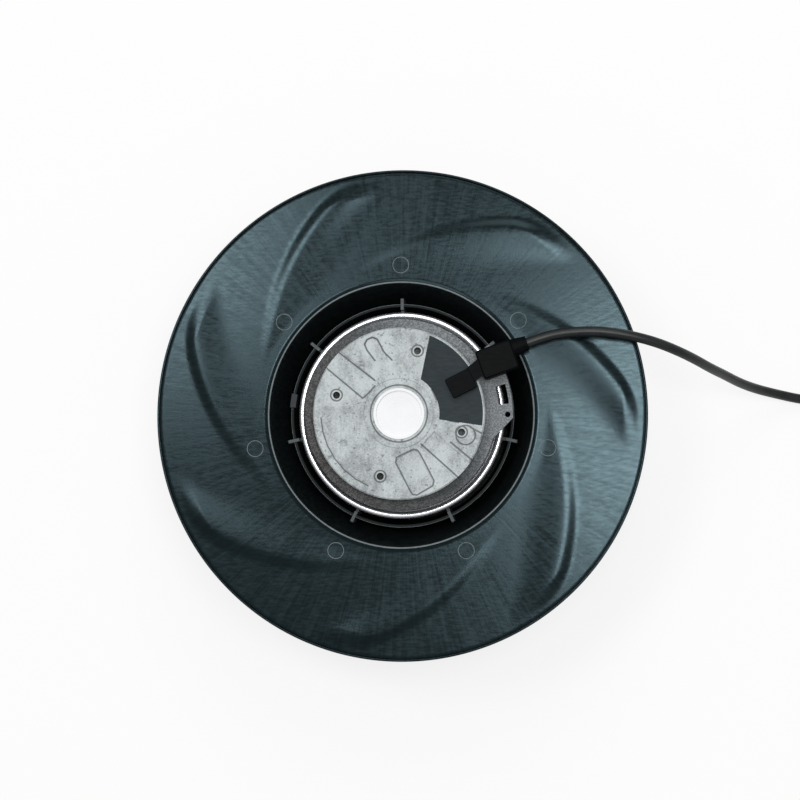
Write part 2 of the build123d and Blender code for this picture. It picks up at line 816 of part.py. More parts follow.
# Stator flange: mounting disc, step, skirt inside the can, bearing tube and the cable outrigger
disc_bottom = disc_top - disc_thickness
step_bottom = step_top - step_thickness
tube_bottom = lower_bearing_bottom - tube_foot
lower_bearing_top = lower_bearing_bottom + bearing_width
spring_seat = upper_bearing_bottom - spring_space
cap_seat = disc_top - cap_recess
with BuildPart() as stator_flange:
    with BuildSketch(Plane.XZ):
        with BuildLine():
            Polyline(
                (bearing_outer_radius, upper_bearing_bottom),
                (bearing_outer_radius, cap_seat),
                (cap_radius, cap_seat),
                (cap_radius, disc_top),
                (disc_radius - disc_edge_fillet, disc_top),
                (disc_radius, disc_top - disc_edge_fillet),
                (disc_radius, step_top),
                (step_radius, step_top),
                (step_radius, skirt_bottom),
                (step_radius - skirt_wall, skirt_bottom),
                (step_radius - skirt_wall, step_bottom),
                (disc_radius - disc_thickness, step_bottom),
                (disc_radius - disc_thickness, disc_bottom),
                (stator_tube_radius + disc_thickness, disc_bottom),
                (stator_tube_radius, disc_bottom - disc_thickness),
                (stator_tube_radius, tube_bottom),
                (bearing_outer_radius, tube_bottom),
                (bearing_outer_radius, lower_bearing_top),
                (tube_shoulder_radius, lower_bearing_top),
                (tube_shoulder_radius, spring_seat),
                (bearing_outer_radius, spring_seat),
                (bearing_outer_radius, upper_bearing_bottom),
            )
        make_face()
    revolve(axis=Axis.Z)
    with BuildSketch(Plane.XY.offset(nose_top)):
        nose_start_root = polar(step_radius, nose_root_angle)
        with BuildLine():
            nose_rim = CenterArc((0, 0), nose_radius, nose_start_angle, nose_end_angle - nose_start_angle)
            Polyline(nose_rim @ 1, polar(disc_radius, nose_end_angle), polar(disc_radius, nose_root_angle))
            Polyline(polar(disc_radius, nose_root_angle), nose_start_root, nose_rim @ 0)
        make_face()
        window_outer = nose_radius - nose_window_inset
        window_inner = window_outer - nose_window_width
        window = ring_sector(window_inner, window_outer, nose_window_start, nose_window_end)
        add(window, mode=Mode.SUBTRACT)
        with Locations(polar(nose_radius - nose_hole_inset, nose_hole_angle)):
            Circle(nose_hole_radius, mode=Mode.SUBTRACT)
        with Locations(polar(nose_radius - nose_slot_inset, nose_slot_angle)):
            SlotOverall(nose_slot_length, nose_slot_width, mode=Mode.SUBTRACT)
    extrude(amount=-nose_thickness)
    with BuildSketch(Plane.XY.offset(disc_bottom)):
        with PolarLocations(screw_pitch_circle / 2, screw_count, start_angle=screw_first_angle):
            Circle(screw_boss_radius)
    extrude(amount=disc_thickness - screw_depth - screw_boss_floor)
    with Locations(Plane.XY.offset(disc_top)):
        with PolarLocations(screw_pitch_circle / 2, screw_count, start_angle=screw_first_angle):
            Hole(screw_core_radius, screw_depth)
        with Locations(polar(centre_mark_circle, centre_mark_angle)):
            Cone(
                0,
                centre_mark_radius,
                centre_mark_depth,
                align=(Align.CENTER, Align.CENTER, Align.MAX),
                mode=Mode.SUBTRACT,
            )
    with BuildSketch(Plane.XY.offset(disc_top)):
        for channel_angle in channel_angles:
            channel_length = disc_radius - channel_inner_radius + channel_depth
            channel_middle = polar(channel_inner_radius + channel_length / 2, channel_angle)
            with Locations(Location((*channel_middle, 0), (0, 0, channel_angle))):
                Rectangle(channel_length, channel_width)
    extrude(amount=-channel_depth, mode=Mode.SUBTRACT)
    with BuildSketch(Plane.XY.offset(disc_top)):
        with Locations(Location((*frame_center, 0), (0, 0, frame_angle))):
            RectangleRounded(frame_length, frame_width, frame_corner)
    extrude(amount=-frame_depth, mode=Mode.SUBTRACT)
    with BuildSketch(Plane.XY.offset(disc_top)):
        SlotCenterPoint(
            ((tongue_start[0] + tongue_end[0]) / 2, (tongue_start[1] + tongue_end[1]) / 2),
            tongue_start,
            tongue_width,
        )
    extrude(amount=-tongue_depth, mode=Mode.SUBTRACT)
    with BuildSketch(Plane.XY.offset(disc_top)):
        add(
            ring_sector(
                groove_radius - groove_width / 2,
                groove_radius + groove_width / 2,
                groove_start_angle,
                groove_end_angle,
            )
        )
    extrude(amount=-groove_depth, mode=Mode.SUBTRACT)
    with BuildSketch(Plane.XY.offset(disc_top)):
        add(cover_outline(cover_gap))
        with Locations(Location((neck_middle.X, neck_middle.Y, 0), (0, 0, neck_angle))):
            Rectangle(neck.length, boot_neck_width + 2 * boot_neck_gap)
    extrude(amount=-cover_thickness, mode=Mode.SUBTRACT)
    with BuildSketch(Plane.XY.offset(disc_top)):
        with Locations(Location((*boot_center, 0), (0, 0, boot_angle + 90))):
            SlotOverall(lead_slot_length, lead_slot_width)
    extrude(amount=-disc_thickness, mode=Mode.SUBTRACT)
    with BuildSketch(Plane.XY.offset(disc_top)):
        Circle(boss_ring_radius + boss_ring_width / 2)
        Circle(boss_ring_radius - boss_ring_width / 2, mode=Mode.SUBTRACT)
    extrude(amount=-groove_depth, mode=Mode.SUBTRACT)
stator_flange.part.label = "stator_flange"
export_step(stator_flange.part, "parts/stator_flange.step")

# Bearing cap: shallow pressed cover over the upper bearing
with BuildPart() as bearing_cap:
    with BuildSketch(Plane.XY.offset(cap_seat)):
        Circle(cap_radius)
    extrude(amount=cap_thickness)
    with BuildSketch(Plane.XY.offset(cap_seat + cap_thickness)):
        Circle(cap_radius)
        Circle(cap_radius - cap_ring_width, mode=Mode.SUBTRACT)
    extrude(amount=cap_recess - cap_thickness + cap_ring_height)
bearing_cap.part.label = "bearing_cap"
export_step(bearing_cap.part, "parts/bearing_cap.step")

# Terminal cover
with BuildPart() as terminal_cover:
    with BuildSketch(Plane.XY.offset(disc_top - cover_thickness)):
        add(cover_outline(0))
        with Locations(Location((*boot_center, 0), (0, 0, boot_angle + 90))):
            SlotOverall(lead_slot_length, lead_slot_width, mode=Mode.SUBTRACT)
    extrude(amount=cover_thickness)
terminal_cover.part.label = "terminal_cover"
export_step(terminal_cover.part, "parts/terminal_cover.step")

# Cable gland: clamping block on the outrigger with a tapered nozzle
gland_direction = Vector(*polar(1, gland_angle))
gland_end = Vector(*gland_center, cord_axis_height) + gland_direction * (gland_length / 2)
nozzle_tip = gland_end + gland_direction * nozzle_length
with BuildPart() as cable_gland:
    with BuildSketch(Plane.XY.offset(gland_floor)):
        with Locations(Location((*gland_center, 0), (0, 0, gland_angle))):
            with Locations((0, -gland_side_shift)):
                RectangleRounded(gland_length, gland_width, gland_round)
    extrude(amount=gland_top - gland_floor)
    chamfer(cable_gland.faces().sort_by(Axis.Z)[-1].edges(), gland_round / 2)
    with BuildSketch(Plane(origin=gland_end, z_dir=gland_direction)):
        Circle(cord_radius + nozzle_root_wall)
    with BuildSketch(Plane(origin=nozzle_tip, z_dir=gland_direction)):
        Circle(cord_radius + nozzle_tip_wall)
    loft()
cable_gland.part.label = "cable_gland"
export_step(cable_gland.part, "parts/cable_gland.step")

# Lead boot: moulded cap over the lead slot, with a flat neck to the gland
with BuildPart() as lead_boot:
    with BuildSketch(Plane.XY.offset(disc_top)):
        with Locations(Location((*boot_center, 0), (0, 0, boot_angle))):
            RectangleRounded(boot_length, boot_width, boot_round)
    extrude(amount=boot_height)
    fillet(lead_boot.faces().sort_by(Axis.Z)[-1].edges(), boot_round / 2)
    with BuildSketch(Plane.XY.offset(disc_top)):
        with Locations(Location((neck_middle.X, neck_middle.Y, 0), (0, 0, neck_angle))):
            Rectangle(neck.length, boot_neck_width)
    extrude(amount=boot_neck_height)
    add(cable_gland.part, mode=Mode.SUBTRACT)
lead_boot.part.label = "lead_boot"
export_step(lead_boot.part, "parts/lead_boot.step")

# Leads from the winding head up through the flange and the cover into the boot
with BuildPart() as stator_leads:
    with BuildSketch(Plane.XY.offset(winding_top - winding_head_round)):
        with Locations(Location((*boot_center, 0), (0, 0, boot_angle + 90))):
            with GridLocations(lead_pitch, lead_pitch, conductor_count, 1):
                Circle(lead_radius)
    extrude(amount=disc_top - winding_top + winding_head_round)
    add(winding_coils.part, mode=Mode.SUBTRACT)
stator_leads.part.label = "stator_leads"
export_step(stator_leads.part, "parts/stator_leads.step")

# Cord: straight runs joined by arcs as large as the runs allow
coil_entry = (coil_center[0] - coil_entry_length, coil_center[1] - coil_turn_radii[0], cord_radius)
cord_points = [nozzle_tip, nozzle_tip + gland_direction * cord_lead_out]
cord_points += [Vector(*point) for point in cord_route]
cord_points += [Vector(*coil_entry) - Vector(cord_lead_in, 0, 0), Vector(*coil_entry)]
cord_runs = [end - start for start, end in zip(cord_points, cord_points[1:])]
cord_bends = []
for run, next_run in zip(cord_runs, cord_runs[1:]):
    half_turn = radians(run.get_angle(next_run)) / 2
    cord_bends.append(0.45 * min(run.length, next_run.length) / tan(half_turn))
print("cord bend radii", [round(bend, 1) for bend in cord_bends])

with BuildPart() as power_cord:
    with BuildLine() as cord_line:
        FilletPolyline(*cord_points, radius=cord_bends)
    with BuildSketch(Plane(origin=nozzle_tip, z_dir=cord_line.line % 0)):
        Circle(cord_radius)
    sweep(path=cord_line.line)
power_cord.part.label = "power_cord"
export_step(power_cord.part, "parts/power_cord.step")
cord_section = pi * cord_radius**2
cord_length = sum(edge.length for edge in cord_line.edges())
length_by_volume = power_cord.part.volume / cord_section
print("cord tube length", round(cord_length, 1), "by volume", round(length_by_volume, 1))

# Floor coil: closed outer shape of two flat turns, open where the stripped end leaves the inner turn
coil_inner = coil_turn_radii[1] - cord_radius
coil_outer = coil_turn_radii[0] + cord_radius
coil_floor = Plane(origin=(*coil_center, 0))
with BuildPart() as cord_coil:
    with BuildSketch(Plane(origin=(*coil_center, 0), x_dir=(1, 0, 0), z_dir=(0, -1, 0))):
        with Locations(((coil_inner + coil_outer) / 2, cord_radius)):
            RectangleRounded(coil_outer - coil_inner, cord_diameter, coil_round)
    revolve(axis=Axis((*coil_center, 0), (0, 0, 1)))
    with BuildSketch(coil_floor):
        left_inner = coil_inner - cord_radius
        left_outer = coil_outer - cord_diameter
        add(ring_sector(left_inner, left_outer, coil_end_angle, coil_entry_angle))
    extrude(amount=cord_diameter, mode=Mode.SUBTRACT)
    with BuildSketch(Plane(origin=coil_entry, z_dir=(1, 0, 0))):
        Circle(cord_radius)
    extrude(amount=coil_entry_length)
cord_coil.part.label = "cord_coil"
export_step(cord_coil.part, "parts/cord_coil.step")

# Stripped end: three conductors that fan out on the floor inside the coil, each with a ferrule
coil_middle = Vector(*coil_center, 0)
conductor_lines = []
for number in range(conductor_count):
    turn = radians(90 + 360 * number / conductor_count)
    start_radius = coil_turn_radii[1] + conductor_spacing * cos(turn)
    start_height = cord_radius + conductor_spacing * sin(turn)
    tip_radius = coil_turn_radii[1] + stripped_fan * (cos(turn) - 1)
    start = coil_middle + Vector(*polar(start_radius, coil_end_angle), start_height)
    tip = coil_middle + Vector(*polar(tip_radius, coil_end_angle + stripped_angle), conductor_radius)
    middle_radius = (start_radius + tip_radius) / 2
    middle_height = conductor_radius + (start_height - conductor_radius) / 4
    middle_angle = coil_end_angle + stripped_angle / 2
    middle = coil_middle + Vector(*polar(middle_radius, middle_angle), middle_height)
    with BuildLine() as conductor_line:
        ThreePointArc(start, middle, tip)
    conductor_lines.append(conductor_line.line)

with BuildPart() as cord_conductors:
    for line in conductor_lines:
        with BuildSketch(Plane(origin=line @ 0, z_dir=line % 0)):
            Circle(conductor_radius)
        sweep(path=line)
    add(cord_coil.part, mode=Mode.SUBTRACT)
cord_conductors.part.label = "cord_conductors"
export_step(cord_conductors.part, "parts/cord_conductors.step")

with BuildPart() as cord_ferrules:
    for line in conductor_lines:
        with BuildSketch(Plane(origin=line @ 1, z_dir=line % 1)):
            Circle(ferrule_radius)
        extrude(amount=ferrule_length)
cord_ferrules.part.label = "cord_ferrules"
export_step(cord_ferrules.part, "parts/cord_ferrules.step")

# Balance clip: folded spring steel over the rim of the hub sleeve
sleeve_inner = sleeve_radius - sleeve_wall
clip_inner = sleeve_inner - clip_thickness
clip_outer = sleeve_radius + clip_thickness
clip_start = clip_angle - clip_width_angle / 2
clip_end = clip_angle + clip_width_angle / 2
with BuildPart() as balance_clip:
    with BuildSketch(Plane.XY.offset(sleeve_top - clip_leg)):
        for inner, outer in ((clip_inner, sleeve_inner), (sleeve_radius, clip_outer)):
            add(ring_sector(inner, outer, clip_start, clip_end))
    extrude(amount=clip_leg)
    with BuildSketch(Plane.XY.offset(sleeve_top)):
        add(ring_sector(clip_inner, clip_outer, clip_start, clip_end))
    extrude(amount=clip_thickness)
balance_clip.part.label = "balance_clip"
export_step(balance_clip.part, "parts/balance_clip.step")
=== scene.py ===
"""Centrifugal fan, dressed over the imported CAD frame: materials, smooth skins, cord, studio."""

import logging
import math
from dataclasses import dataclass, field
from enum import Enum
from typing import Any, Callable, Sequence

import bmesh
import bpy
from mathutils import Matrix, Vector


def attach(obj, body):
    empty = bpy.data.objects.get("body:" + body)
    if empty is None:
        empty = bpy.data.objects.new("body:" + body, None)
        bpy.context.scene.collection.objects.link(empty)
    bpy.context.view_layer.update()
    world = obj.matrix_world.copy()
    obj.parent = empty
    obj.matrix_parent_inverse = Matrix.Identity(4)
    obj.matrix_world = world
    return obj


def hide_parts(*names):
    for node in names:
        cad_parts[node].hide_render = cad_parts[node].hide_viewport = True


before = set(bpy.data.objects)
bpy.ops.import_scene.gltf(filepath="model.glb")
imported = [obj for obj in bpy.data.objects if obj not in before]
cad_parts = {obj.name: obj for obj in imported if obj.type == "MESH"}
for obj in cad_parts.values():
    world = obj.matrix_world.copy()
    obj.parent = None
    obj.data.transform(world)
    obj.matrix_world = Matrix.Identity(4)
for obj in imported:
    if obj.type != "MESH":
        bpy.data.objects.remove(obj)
MM = 0.001
log = logging.getLogger("fan")


class Body(Enum):
    """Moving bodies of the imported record."""

    STATOR = "stator"
    ROTOR = "rotor"
    UPPER_BALLS = "upper_balls"
    LOWER_BALLS = "lower_balls"


class Val:
    """A shader value that adds its Math nodes when it is used in an expression."""

    def __init__(self, graph: "Graph", socket: bpy.types.NodeSocket) -> None:
        """Wrap one output socket.

        Args:
            graph: Node graph that the socket belongs to.
            socket: Output socket with a single value.
        """
        self.graph = graph
        self.socket = socket

    def _math(self, operation: str, first: Any, second: Any) -> "Val":
        """Join two operands with a Math node.

        Args:
            operation: Name of the Math node's operation.
            first: Left operand.
            second: Right operand.

        Returns:
            The result.
        """
        node = self.graph.node("ShaderNodeMath", {"operation": operation}, {0: first, 1: second})
        return Val(self.graph, node.outputs[0])

    def __add__(self, other: Any) -> "Val":
        """Sum."""
        return self._math("ADD", self, other)

    __radd__ = __add__

    def __sub__(self, other: Any) -> "Val":
        """Difference."""
        return self._math("SUBTRACT", self, other)

    def __rsub__(self, other: Any) -> "Val":
        """Reflected difference."""
        return self._math("SUBTRACT", other, self)

    def __mul__(self, other: Any) -> "Val":
        """Product."""
        return self._math("MULTIPLY", self, other)

    __rmul__ = __mul__

    def __truediv__(self, other: Any) -> "Val":
        """Quotient."""
        return self._math("DIVIDE", self, other)

    def __pow__(self, other: Any) -> "Val":
        """Power."""
        return self._math("POWER", self, other)

    def step(self, low: float, high: float) -> "Val":
        """Smooth step from 0 at low to 1 at high.

        Args:
            low: Value at which the step starts.
            high: Value at which it ends.

        Returns:
            The stepped value.
        """
        node = self.graph.node(
            "ShaderNodeMapRange",
            {"interpolation_type": "SMOOTHSTEP"},
            {"Value": self, "From Min": low, "From Max": high},
        )
        return Val(self.graph, node.outputs["Result"])


class Graph:
    """Node tree of one material or world."""

    def __init__(self, tree: bpy.types.NodeTree) -> None:
        """Take over a tree and empty it.

        Args:
            tree: Node tree to fill.
        """
        self.tree = tree
        tree.nodes.clear()

    def node(self, kind: str, settings: dict[str, Any], inputs: dict[Any, Any]) -> bpy.types.Node:
        """Add a node, set its settings first and then its sockets.

        Args:
            kind: Type of the node.
            settings: Attributes of the node; "stops" fills a colour ramp.
            inputs: Values, sockets or Vals by socket name or index.

        Returns:
            The new node.
        """
        node = self.tree.nodes.new(kind)
        for name, value in settings.items():
            if name == "stops":
                self._fill_ramp(node, value)
            else:
                setattr(node, name, value)
        for key, value in inputs.items():
            if isinstance(value, Val):
                value = value.socket
            if isinstance(value, bpy.types.NodeSocket):
                self.tree.links.new(value, node.inputs[key])
            else:
                node.inputs[key].default_value = value
        return node

    @staticmethod
    def _fill_ramp(node: bpy.types.Node, stops: Sequence[tuple[float, tuple[float, ...]]]) -> None:
        """Set the stops of a colour ramp.

        Args:
            node: The ramp.
            stops: Positions and colours, from low to high.
        """
        elements = node.color_ramp.elements
        while len(elements) < len(stops):
            elements.new(0.5)
        for element, (place, color) in zip(elements, stops):
            element.position = place
            element.color = (*color, 1.0)

    def val(self, node: bpy.types.Node, name: Any = 0) -> Val:
        """Wrap a node's output."""
        return Val(self, node.outputs[name])

    def coords(self) -> bpy.types.NodeSocket:
        """Object coordinates in metres."""
        return self.node("ShaderNodeTexCoord", {}, {}).outputs["Object"]

    def noise(self, vector: Any, scale: float, detail: float = 2.0, rough: float = 0.5) -> Val:
        """Add a noise texture.

        Args:
            vector: Coordinates.
            scale: Waves per unit of the coordinates.
            detail: Number of finer octaves.
            rough: Strength of the finer octaves.

        Returns:
            The noise, from about 0 to 1.
        """
        node = self.node(
            "ShaderNodeTexNoise",
            {},
            {"Vector": vector, "Scale": scale, "Detail": detail, "Roughness": rough},
        )
        return self.val(node, "Fac")

    def stretch(self, vector: Any, scale: tuple[float, float, float]) -> bpy.types.NodeSocket:
        """Scale coordinates by axis."""
        return self.node("ShaderNodeMapping", {}, {"Vector": vector, "Scale": scale}).outputs[0]

    def mix(self, share: Any, first: Any, second: Any) -> bpy.types.NodeSocket:
        """Mix two colours.

        Args:
            share: Part of the second colour, from 0 to 1.
            first: Colour at 0.
            second: Colour at 1.

        Returns:
            The mixed colour's socket.
        """
        pair = {6: first, 7: second, 0: share}
        for key in (6, 7):
            if isinstance(pair[key], tuple):
                pair[key] = (*pair[key][:3], 1.0)
        return self.node("ShaderNodeMix", {"data_type": "RGBA"}, pair).outputs[2]

    def bump(self, height: Val, distance: float, strength: float = 1.0) -> bpy.types.NodeSocket:
        """Turn a height into a normal."""
        node = self.node(
            "ShaderNodeBump", {}, {"Height": height, "Distance": distance, "Strength": strength}
        )
        return node.outputs[0]

    def stroke(self, start: tuple[float, float], end: tuple[float, float], width: float) -> Val:
        """Mask of a straight mark in the plane across the motor axis.

        Args:
            start: One end in millimetres.
            end: The other end in millimetres.
            width: Full width in millimetres.

        Returns:
            1 on the mark, 0 beside it.
        """
        run = Vector(end) - Vector(start)
        middle = (Vector(end) + Vector(start)) / 2 * MM
        turned = self.node(
            "ShaderNodeMapping",
            {"vector_type": "TEXTURE"},
            {
                "Vector": self.coords(),
                "Location": (middle.x, middle.y, 0.0),
                "Rotation": (0.0, 0.0, math.atan2(run.y, run.x)),
            },
        ).outputs[0]
        for operation, other in (
            ("ABSOLUTE", (0.0, 0.0, 0.0)),
            ("SUBTRACT", (run.length / 2 * MM, 0.0, 1.0)),
            ("MAXIMUM", (0.0, 0.0, 0.0)),
        ):
            node = self.node("ShaderNodeVectorMath", {"operation": operation}, {0: turned, 1: other})
            turned = node.outputs[0]
        away = self.node("ShaderNodeVectorMath", {"operation": "LENGTH"}, {0: turned})
        return 1.0 - self.val(away, "Value").step(width * 0.2 * MM, width * 0.6 * MM)

    def ring(self, center: tuple[float, float], radius: float, width: float) -> Val:
        """Mask of a round mark in the plane across the motor axis.

        Args:
            center: Centre in millimetres.
            radius: Radius in millimetres.
            width: Full width in millimetres.

        Returns:
            1 on the mark, 0 beside it.
        """
        flat = self.node(
            "ShaderNodeVectorMath",
            {"operation": "MULTIPLY_ADD"},
            {0: self.coords(), 1: (1.0, 1.0, 0.0), 2: (-center[0] * MM, -center[1] * MM, 0.0)},
        )
        away = self.node("ShaderNodeVectorMath", {"operation": "LENGTH"}, {0: flat.outputs[0]})
        off = self.node(
            "ShaderNodeMath", {"operation": "ABSOLUTE"}, {0: self.val(away, "Value") - radius * MM}
        )
        return 1.0 - self.val(off).step(width * 0.2 * MM, width * 0.6 * MM)

    def most(self, marks: Sequence[Val]) -> Val:
        """Largest of several masks."""
        top = marks[0]
        for mark in marks[1:]:
            top = Val(self, self.node("ShaderNodeMath", {"operation": "MAXIMUM"}, {0: top, 1: mark}).outputs[0])
        return top

    def polar(self) -> tuple[Val, bpy.types.NodeSocket]:
        """Distance from the motor axis, and the direction from it as a vector of length 1."""
        parts = self.node("ShaderNodeSeparateXYZ", {}, {0: self.coords()})
        x, y = self.val(parts, 0), self.val(parts, 1)
        flat = self.node("ShaderNodeCombineXYZ", {}, {0: x, 1: y})
        unit = self.node("ShaderNodeVectorMath", {"operation": "NORMALIZE"}, {0: flat.outputs[0]})
        return (x * x + y * y) ** 0.5, unit.outputs[0]


@dataclass(frozen=True)
class Finish:
    """Base of every finish: one surface with its colours and its gloss."""

    name: str
    color: tuple[float, float, float]
    shade: tuple[float, float, float]
    roughness: float = 0.5
    metallic: float = 0.0
    specular: float = 0.5
    tint: tuple[float, float, float] = (1.0, 1.0, 1.0)

    def material(self) -> bpy.types.Material:
        """Make the material once and reuse it."""
        title = f"{self.name}_finish"
        found = bpy.data.materials.get(title)
        if found:
            return found
        made = bpy.data.materials.new(title)
        made.use_nodes = True
        graph = Graph(made.node_tree)
        shader = graph.node(
            "ShaderNodeBsdfPrincipled",
            {},
            {
                "Metallic": self.metallic,
                "Specular IOR Level": self.specular,
                "Specular Tint": (*self.tint, 1.0),
            },
        )
        for socket, value in self.surface(graph).items():
            value = value.socket if isinstance(value, Val) else value
            graph.tree.links.new(value, shader.inputs[socket])
        graph.node("ShaderNodeOutputMaterial", {}, {"Surface": shader.outputs[0]})
        return made

    def surface(self, graph: Graph) -> dict[str, Any]:
        """Sockets that change over the surface.

        Args:
            graph: The material's nodes.

        Returns:
            Values by the shader's socket name.
        """
        cloud = graph.noise(graph.coords(), 90.0, 4.0)
        return {
            "Base Color": graph.mix(cloud.step(0.35, 0.7), self.shade, self.color),
            "Roughness": cloud * 0.16 + (self.roughness - 0.08),
        }


@dataclass(frozen=True)
class MouldedPlastic(Finish):
    """Filled plastic with drawn-out flow streaks that run from the hub to the rim."""

    streak: float = 0.5

    def surface(self, graph: Graph) -> dict[str, Any]:
        """Streaks, clouds and fine grain."""
        radius, unit = graph.polar()
        lane = graph.node("ShaderNodeVectorMath", {"operation": "SCALE"}, {0: unit, "Scale": 58.0})
        lift = graph.node("ShaderNodeCombineXYZ", {}, {2: radius * 30.0})
        swirl = graph.node(
            "ShaderNodeVectorMath", {"operation": "ADD"}, {0: lane.outputs[0], 1: lift.outputs[0]}
        )
        streaks = graph.noise(swirl.outputs[0], 1.0, 5.0, 0.6)
        slant = graph.noise(graph.stretch(graph.coords(), (260.0, 900.0, 300.0)), 1.0, 3.0)
        cloud = graph.noise(graph.coords(), 24.0, 3.0)
        grain = graph.noise(graph.coords(), 2600.0, 1.0)
        mark = streaks * self.streak + slant * (1.0 - self.streak)
        tone = mark * 0.7 + cloud * 0.3
        return {
            "Base Color": graph.mix(tone.step(0.35, 0.68), self.shade, self.color),
            "Roughness": mark.step(0.3, 0.7) * 0.12 + (self.roughness - 0.06),
            "Normal": graph.bump(mark + grain * 0.2, 0.00008, 0.28),
        }


@dataclass(frozen=True)
class CastMetal(Finish):
    """Die-cast alloy with flow marks, specks and a few dark pits."""

    def surface(self, graph: Graph) -> dict[str, Any]:
        """Mottled skin of a pressure casting."""
        place = graph.coords()
        flow = graph.noise(graph.stretch(place, (210.0, 120.0, 210.0)), 1.0, 5.0, 0.62)
        speck = graph.noise(place, 1500.0, 2.0, 0.7)
        pits = graph.noise(place, 620.0, 1.0).step(0.66, 0.74)
        tone = (flow * 0.65 + speck * 0.35).step(0.36, 0.62)
        worn = graph.mix(tone, self.shade, self.color)
        dark = tuple(part * 0.45 for part in self.shade)
        return {
            "Base Color": graph.mix(pits * 0.6, worn, dark),
            "Roughness": flow * 0.25 + (self.roughness - 0.1),
            "Normal": graph.bump(flow + speck * 0.35 - pits * 0.6, 0.00012, 0.55),
        }


@dataclass(frozen=True)
class MotorCasting(CastMetal):
    """Casting of the motor flange: pale face, dark lines of painted shade along the relief edges, and a lower ring
    darkened with painted shade, lighter at the top right with painted light.
    """

    # Painted shade: straight strokes, rings and a groove arc, in millimetres, that darken the relief's edges.
    shade_strokes: tuple[tuple[float, float, float, float], ...] = ()
    rings: tuple[tuple[float, float, float], ...] = ()
    groove: tuple[float, float, float] = (36.0, 183.0, 247.0)
    ledge: float = 84.0

    def surface(self, graph: Graph) -> dict[str, Any]:
        """Mottled skin with painted shade along the relief edges and over the lower ring."""
        place = graph.coords()
        flow = graph.noise(graph.stretch(place, (210.0, 120.0, 210.0)), 1.0, 5.0, 0.62)
        speck = graph.noise(place, 1300.0, 2.0, 0.7)
        pits = graph.noise(place, 620.0, 1.0).step(0.66, 0.74)
        broad = graph.noise(place, 38.0, 3.0)
        # Dark lines where the relief walls, the screw holes, the cap edge and the groove would lie in shadow: painted
        # shade.
        marks = [graph.stroke((x, y), (u, v), 0.75) for x, y, u, v in self.shade_strokes]
        marks += [graph.ring((x, y), radius, 0.7) for x, y, radius in self.rings]
        reach, start, end = self.groove
        turns = [start + (end - start) * k / 6 for k in range(7)]
        marks += [graph.stroke(polar_point(reach, a), polar_point(reach, b), 0.5) for a, b in zip(turns, turns[1:])]
        relief_shade_lines = graph.most(marks)
        tone = (flow * 0.45 + speck * 0.3 + broad * 0.25).step(0.36, 0.62)
        face = graph.mix(tone, self.shade, self.color)
        dark = tuple(part * 0.3 for part in self.shade)
        # Pits are dark specks of the metal itself; the relief lines are painted shade.
        face = graph.mix(graph.most([pits * 0.55, relief_shade_lines * 0.85]), face, dark)
        parts = graph.node("ShaderNodeSeparateXYZ", {}, {0: place})
        # The lower ring below the ledge is darkened with painted shade, and made rougher and less metallic.
        low = 1.0 - graph.val(parts, 2).step((self.ledge - 1.0) * MM, (self.ledge + 1.5) * MM)
        east, north = graph.val(parts, 0), graph.val(parts, 1)
        # Painted shade and light by side: darker and brownish at the left and bottom, lighter at the top right,
        # mottled at random.
        left = 1.0 - (east + north * 0.45).step(-0.045, 0.012)
        lit_side = (east * 0.9 + north * 0.6).step(0.0, 0.036)
        ring_shade = graph.mix(left * (0.4 + broad * 0.8), (0.026, 0.031, 0.034), (0.017, 0.012, 0.01))
        ring_shade = graph.mix(lit_side, ring_shade, (0.1, 0.112, 0.118))
        # Pale specks, stronger on the lighter top right: speckle of the casting, partly painted highlight.
        specks_and_painted_sheen = graph.mix(speck.step(0.42, 0.62) * (lit_side * 0.35 + 0.2), ring_shade, (0.33, 0.35, 0.36))
        return {
            "Base Color": graph.mix(low, face, specks_and_painted_sheen),
            "Roughness": flow * 0.25 + (self.roughness - 0.1) + low * 0.12,
            "Metallic": self.metallic - low * 0.3,
            "Normal": graph.bump(flow + speck * 0.35 - pits * 0.6 - relief_shade_lines * 2.2, 0.00016, 0.7),
        }


@dataclass(frozen=True)
class TurnedMetal(Finish):
    """Drawn or turned metal with fine rings round the motor axis."""

    rings: float = 5200.0

    def surface(self, graph: Graph) -> dict[str, Any]:
        """Fine rings and a light haze."""
        radius, unit = graph.polar()
        height = graph.val(graph.node("ShaderNodeSeparateXYZ", {}, {0: graph.coords()}), 2)
        lane = graph.node("ShaderNodeCombineXYZ", {}, {0: radius + height * 0.7})
        turning = graph.noise(lane.outputs[0], self.rings, 2.0)
        haze = graph.noise(graph.coords(), 60.0, 4.0)
        tone = turning * 0.5 + haze * 0.5
        return {
            "Base Color": graph.mix(tone.step(0.3, 0.6), self.shade, self.color),
            "Roughness": haze * 0.15 + turning * 0.08 + (self.roughness - 0.11),
            "Normal": graph.bump(turning, 0.00003, 0.4),
        }


@dataclass(frozen=True)
class CordSheath(Finish):
    """Extruded sheath: satin, with slow waves and fine die lines."""

    def surface(self, graph: Graph) -> dict[str, Any]:
        """Soft unevenness along the cord."""
        wave = graph.noise(graph.coords(), 110.0, 2.0)
        fine = graph.noise(graph.coords(), 1900.0, 2.0)
        return {
            "Base Color": graph.mix(wave.step(0.3, 0.7), self.shade, self.color),
            "Roughness": wave * 0.16 + fine * 0.08 + (self.roughness - 0.12),
            "Normal": graph.bump(wave * 0.6 + fine * 0.2, 0.0001, 0.35),
        }


